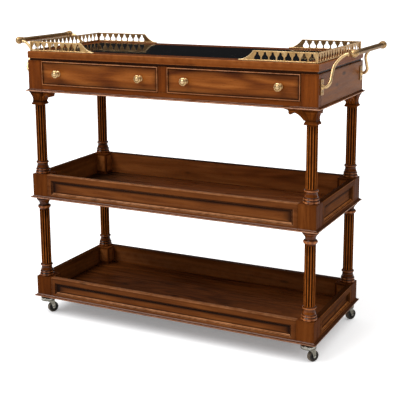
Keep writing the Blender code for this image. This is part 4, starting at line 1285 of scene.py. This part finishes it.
# A fork's cheek, round the axle's end at its foot
cheek = [(-19.5, 47.8), (-18.5, 50), (19, 50), (20.4, 42), (21.6, 32), (22.1, 24)]
for k in range(11):
    angle = math.radians(30 - 180 * k / 10)
    cheek.append((trail + 5.2 * math.cos(angle), wheel_radius + 5.2 * math.sin(angle)))
cheek += [(10.8, 24), (8, 31), (2.5, 37.8), (-6.5, 43.2), (-14.5, 46.2)]
cheek = [(x / 1000, z / 1000) for x, z in cheek]


def caster(corner):
    fixed = moved(*corner_matrix(corner, 0).to_translation())
    swung = fixed @ rotated(heading)
    swivel = f"caster_swivel_{corner}"
    form = Form()
    form.lathe(mount_rings, 48, 0, fixed)
    finished(f"caster_mount_{corner}", form, steel, f"caster_plate_{corner}", sharp=40)

    form = Form()
    form.lathe(hood_rings, 56, 0, swung, endless=True)
    for y in (-0.0095, 0.0095):
        form.plate([cheek], 0.0019, 0.1, 0, swung @ moved(0, y, 0))
    finished(f"caster_hood_{corner}", form, steel, f"caster_fork_{corner}", swivel, 40, 0.0004)

    hub = swung @ moved(trail / 1000, 0, wheel_radius / 1000) @ rotated(quarter, "X")
    form = Form()
    form.lathe(mirrored(axle_rings) + axle_rings, 24, 0, hub)
    finished(f"caster_pin_{corner}", form, steel, f"caster_axle_{corner}", swivel, 40)

    form = Form()
    form.lathe(tyre_rings + mirrored(tyre_rings), 56, 0, hub, endless=True)
    finished(f"caster_tyre_{corner}", form, tyre, f"caster_wheel_{corner}", f"caster_roller_{corner}", 45)


for corner in corners:
    caster(corner)


# Floor, light and camera

def build_floor():
    """A pale floor that glows a little to the camera, and is a little darker to it where the cart shades it:
    a painted shadow from ambient occlusion.
    """
    form = Form()
    size = 60
    count = 6
    rows = []
    for i in range(count + 1):
        y = (2 * i / count - 1) * size
        rows.append([form.point(((2 * j / count - 1) * size, y, 0)) for j in range(count + 1)])
    for i, j in product(range(count), repeat=2):
        form.bm.faces.new((rows[i][j], rows[i][j + 1], rows[i + 1][j + 1], rows[i + 1][j]))
    mesh = bpy.data.meshes.new("studio_floor")
    form.bm.to_mesh(mesh)
    form.bm.free()
    material = bpy.data.materials.new("pale_floor")
    material.use_nodes = True
    tree = material.node_tree
    tree.nodes.clear()
    cloud = noise(tree, position(tree), 3, 3)
    shade = ramp(tree, cloud, [(0, (0.95, 0.95, 0.95, 1)), (1, (0.965, 0.965, 0.965, 1))])
    to_camera = add(tree, "ShaderNodeLightPath").outputs["Is Camera Ray"]
    # The occlusion's normal is leaned, so that the painted shadow reaches further in front and to the left
    # than to the right
    lean = add(tree, "ShaderNodeCombineXYZ", X=0.56, Y=0.24, Z=0.79).outputs[0]
    near = add(tree, "ShaderNodeAmbientOcclusion", {"samples": 4}, Distance=0.17, Normal=lean)
    open_sky = span(tree, near.outputs["AO"], 0.34, 0.68)
    seen = calc(tree, "MULTIPLY", to_camera, calc(tree, "SUBTRACT", 1, open_sky))
    shade = mix(tree, seen, shade, (0.84, 0.855, 0.875, 1))
    matte = add(tree, "ShaderNodeBsdfDiffuse", Color=shade)
    strength = calc(tree, "MULTIPLY", to_camera, calc(tree, "MULTIPLY_ADD", open_sky, 0.38, 0.17))
    glow = add(tree, "ShaderNodeEmission", Strength=strength)
    both = add(tree, "ShaderNodeAddShader")
    tree.links.new(matte.outputs[0], both.inputs[0])
    tree.links.new(glow.outputs[0], both.inputs[1])
    add(tree, "ShaderNodeOutputMaterial", Surface=both.outputs[0])
    mesh.materials.append(material)
    floor = bpy.data.objects.new("studio_floor", mesh)
    bpy.context.collection.objects.link(floor)


def build_light():
    """A white room for the camera, a soft grey one for matt surfaces, and banded walls for gloss."""
    world = bpy.data.worlds.new("studio")
    bpy.context.scene.world = world
    world.use_nodes = True
    tree = world.node_tree
    tree.nodes.clear()
    rays = add(tree, "ShaderNodeLightPath").outputs
    direction = add(tree, "ShaderNodeTexCoord").outputs["Generated"]
    height = add(tree, "ShaderNodeSeparateXYZ", Vector=direction).outputs["Z"]
    grey = []
    for place, level in ((0, 1), (0.505, 1), (0.515, 0.018), (0.64, 0.022), (0.76, 0.3), (0.9, 1)):
        grey.append((place, (level, level, level, 1)))
    bands = ramp(tree, span(tree, height, -1, 1), grey)
    shade = mix(tree, rays["Is Glossy Ray"], (0.58, 0.58, 0.58, 1), bands)
    plain = calc(tree, "MAXIMUM", rays["Is Camera Ray"], rays["Is Transmission Ray"])
    shade = mix(tree, plain, shade, (1, 1, 1, 1))
    back = add(tree, "ShaderNodeBackground", Color=shade)
    add(tree, "ShaderNodeOutputWorld", Surface=back.outputs[0])
    sun = bpy.data.lights.new("soft_key", "SUN")
    sun.energy = 2
    sun.angle = math.radians(38)
    lamp = bpy.data.objects.new("soft_key", sun)
    bpy.context.collection.objects.link(lamp)
    lamp.rotation_mode = "QUATERNION"
    lamp.rotation_quaternion = Vector((-0.42, -0.5, 0.76)).to_track_quat("Z", "Y")


def build_camera():
    """The photograph's viewing angle: turned about z, tilted down and rolled a little."""
    azimuth, elevation, roll = (math.radians(v) for v in (26.5047, 11.5268, -0.3584))
    level = Vector((-math.sin(azimuth), math.cos(azimuth), 0))
    ahead = level * math.cos(elevation) + Vector((0, 0, -math.sin(elevation)))
    right = Vector((math.cos(azimuth), math.sin(azimuth), 0))
    up = right.cross(ahead)
    turned_right = right * math.cos(roll) + up * math.sin(roll)
    turned_up = -right * math.sin(roll) + up * math.cos(roll)
    data = bpy.data.cameras.new("photo_view")
    data.sensor_width = 36
    data.lens = 83.661
    data.shift_y = -0.125
    data.clip_end = 300
    camera = bpy.data.objects.new("photo_view", data)
    bpy.context.collection.objects.link(camera)
    camera.rotation_mode = "QUATERNION"
    camera.rotation_quaternion = Matrix((turned_right, turned_up, -ahead)).transposed().to_quaternion()
    camera.location = (1.3732, -2.7032, 1.2053)
    bpy.context.scene.camera = camera


build_floor()
build_light()
build_camera()
bpy.context.scene.view_settings.view_transform = "Standard"
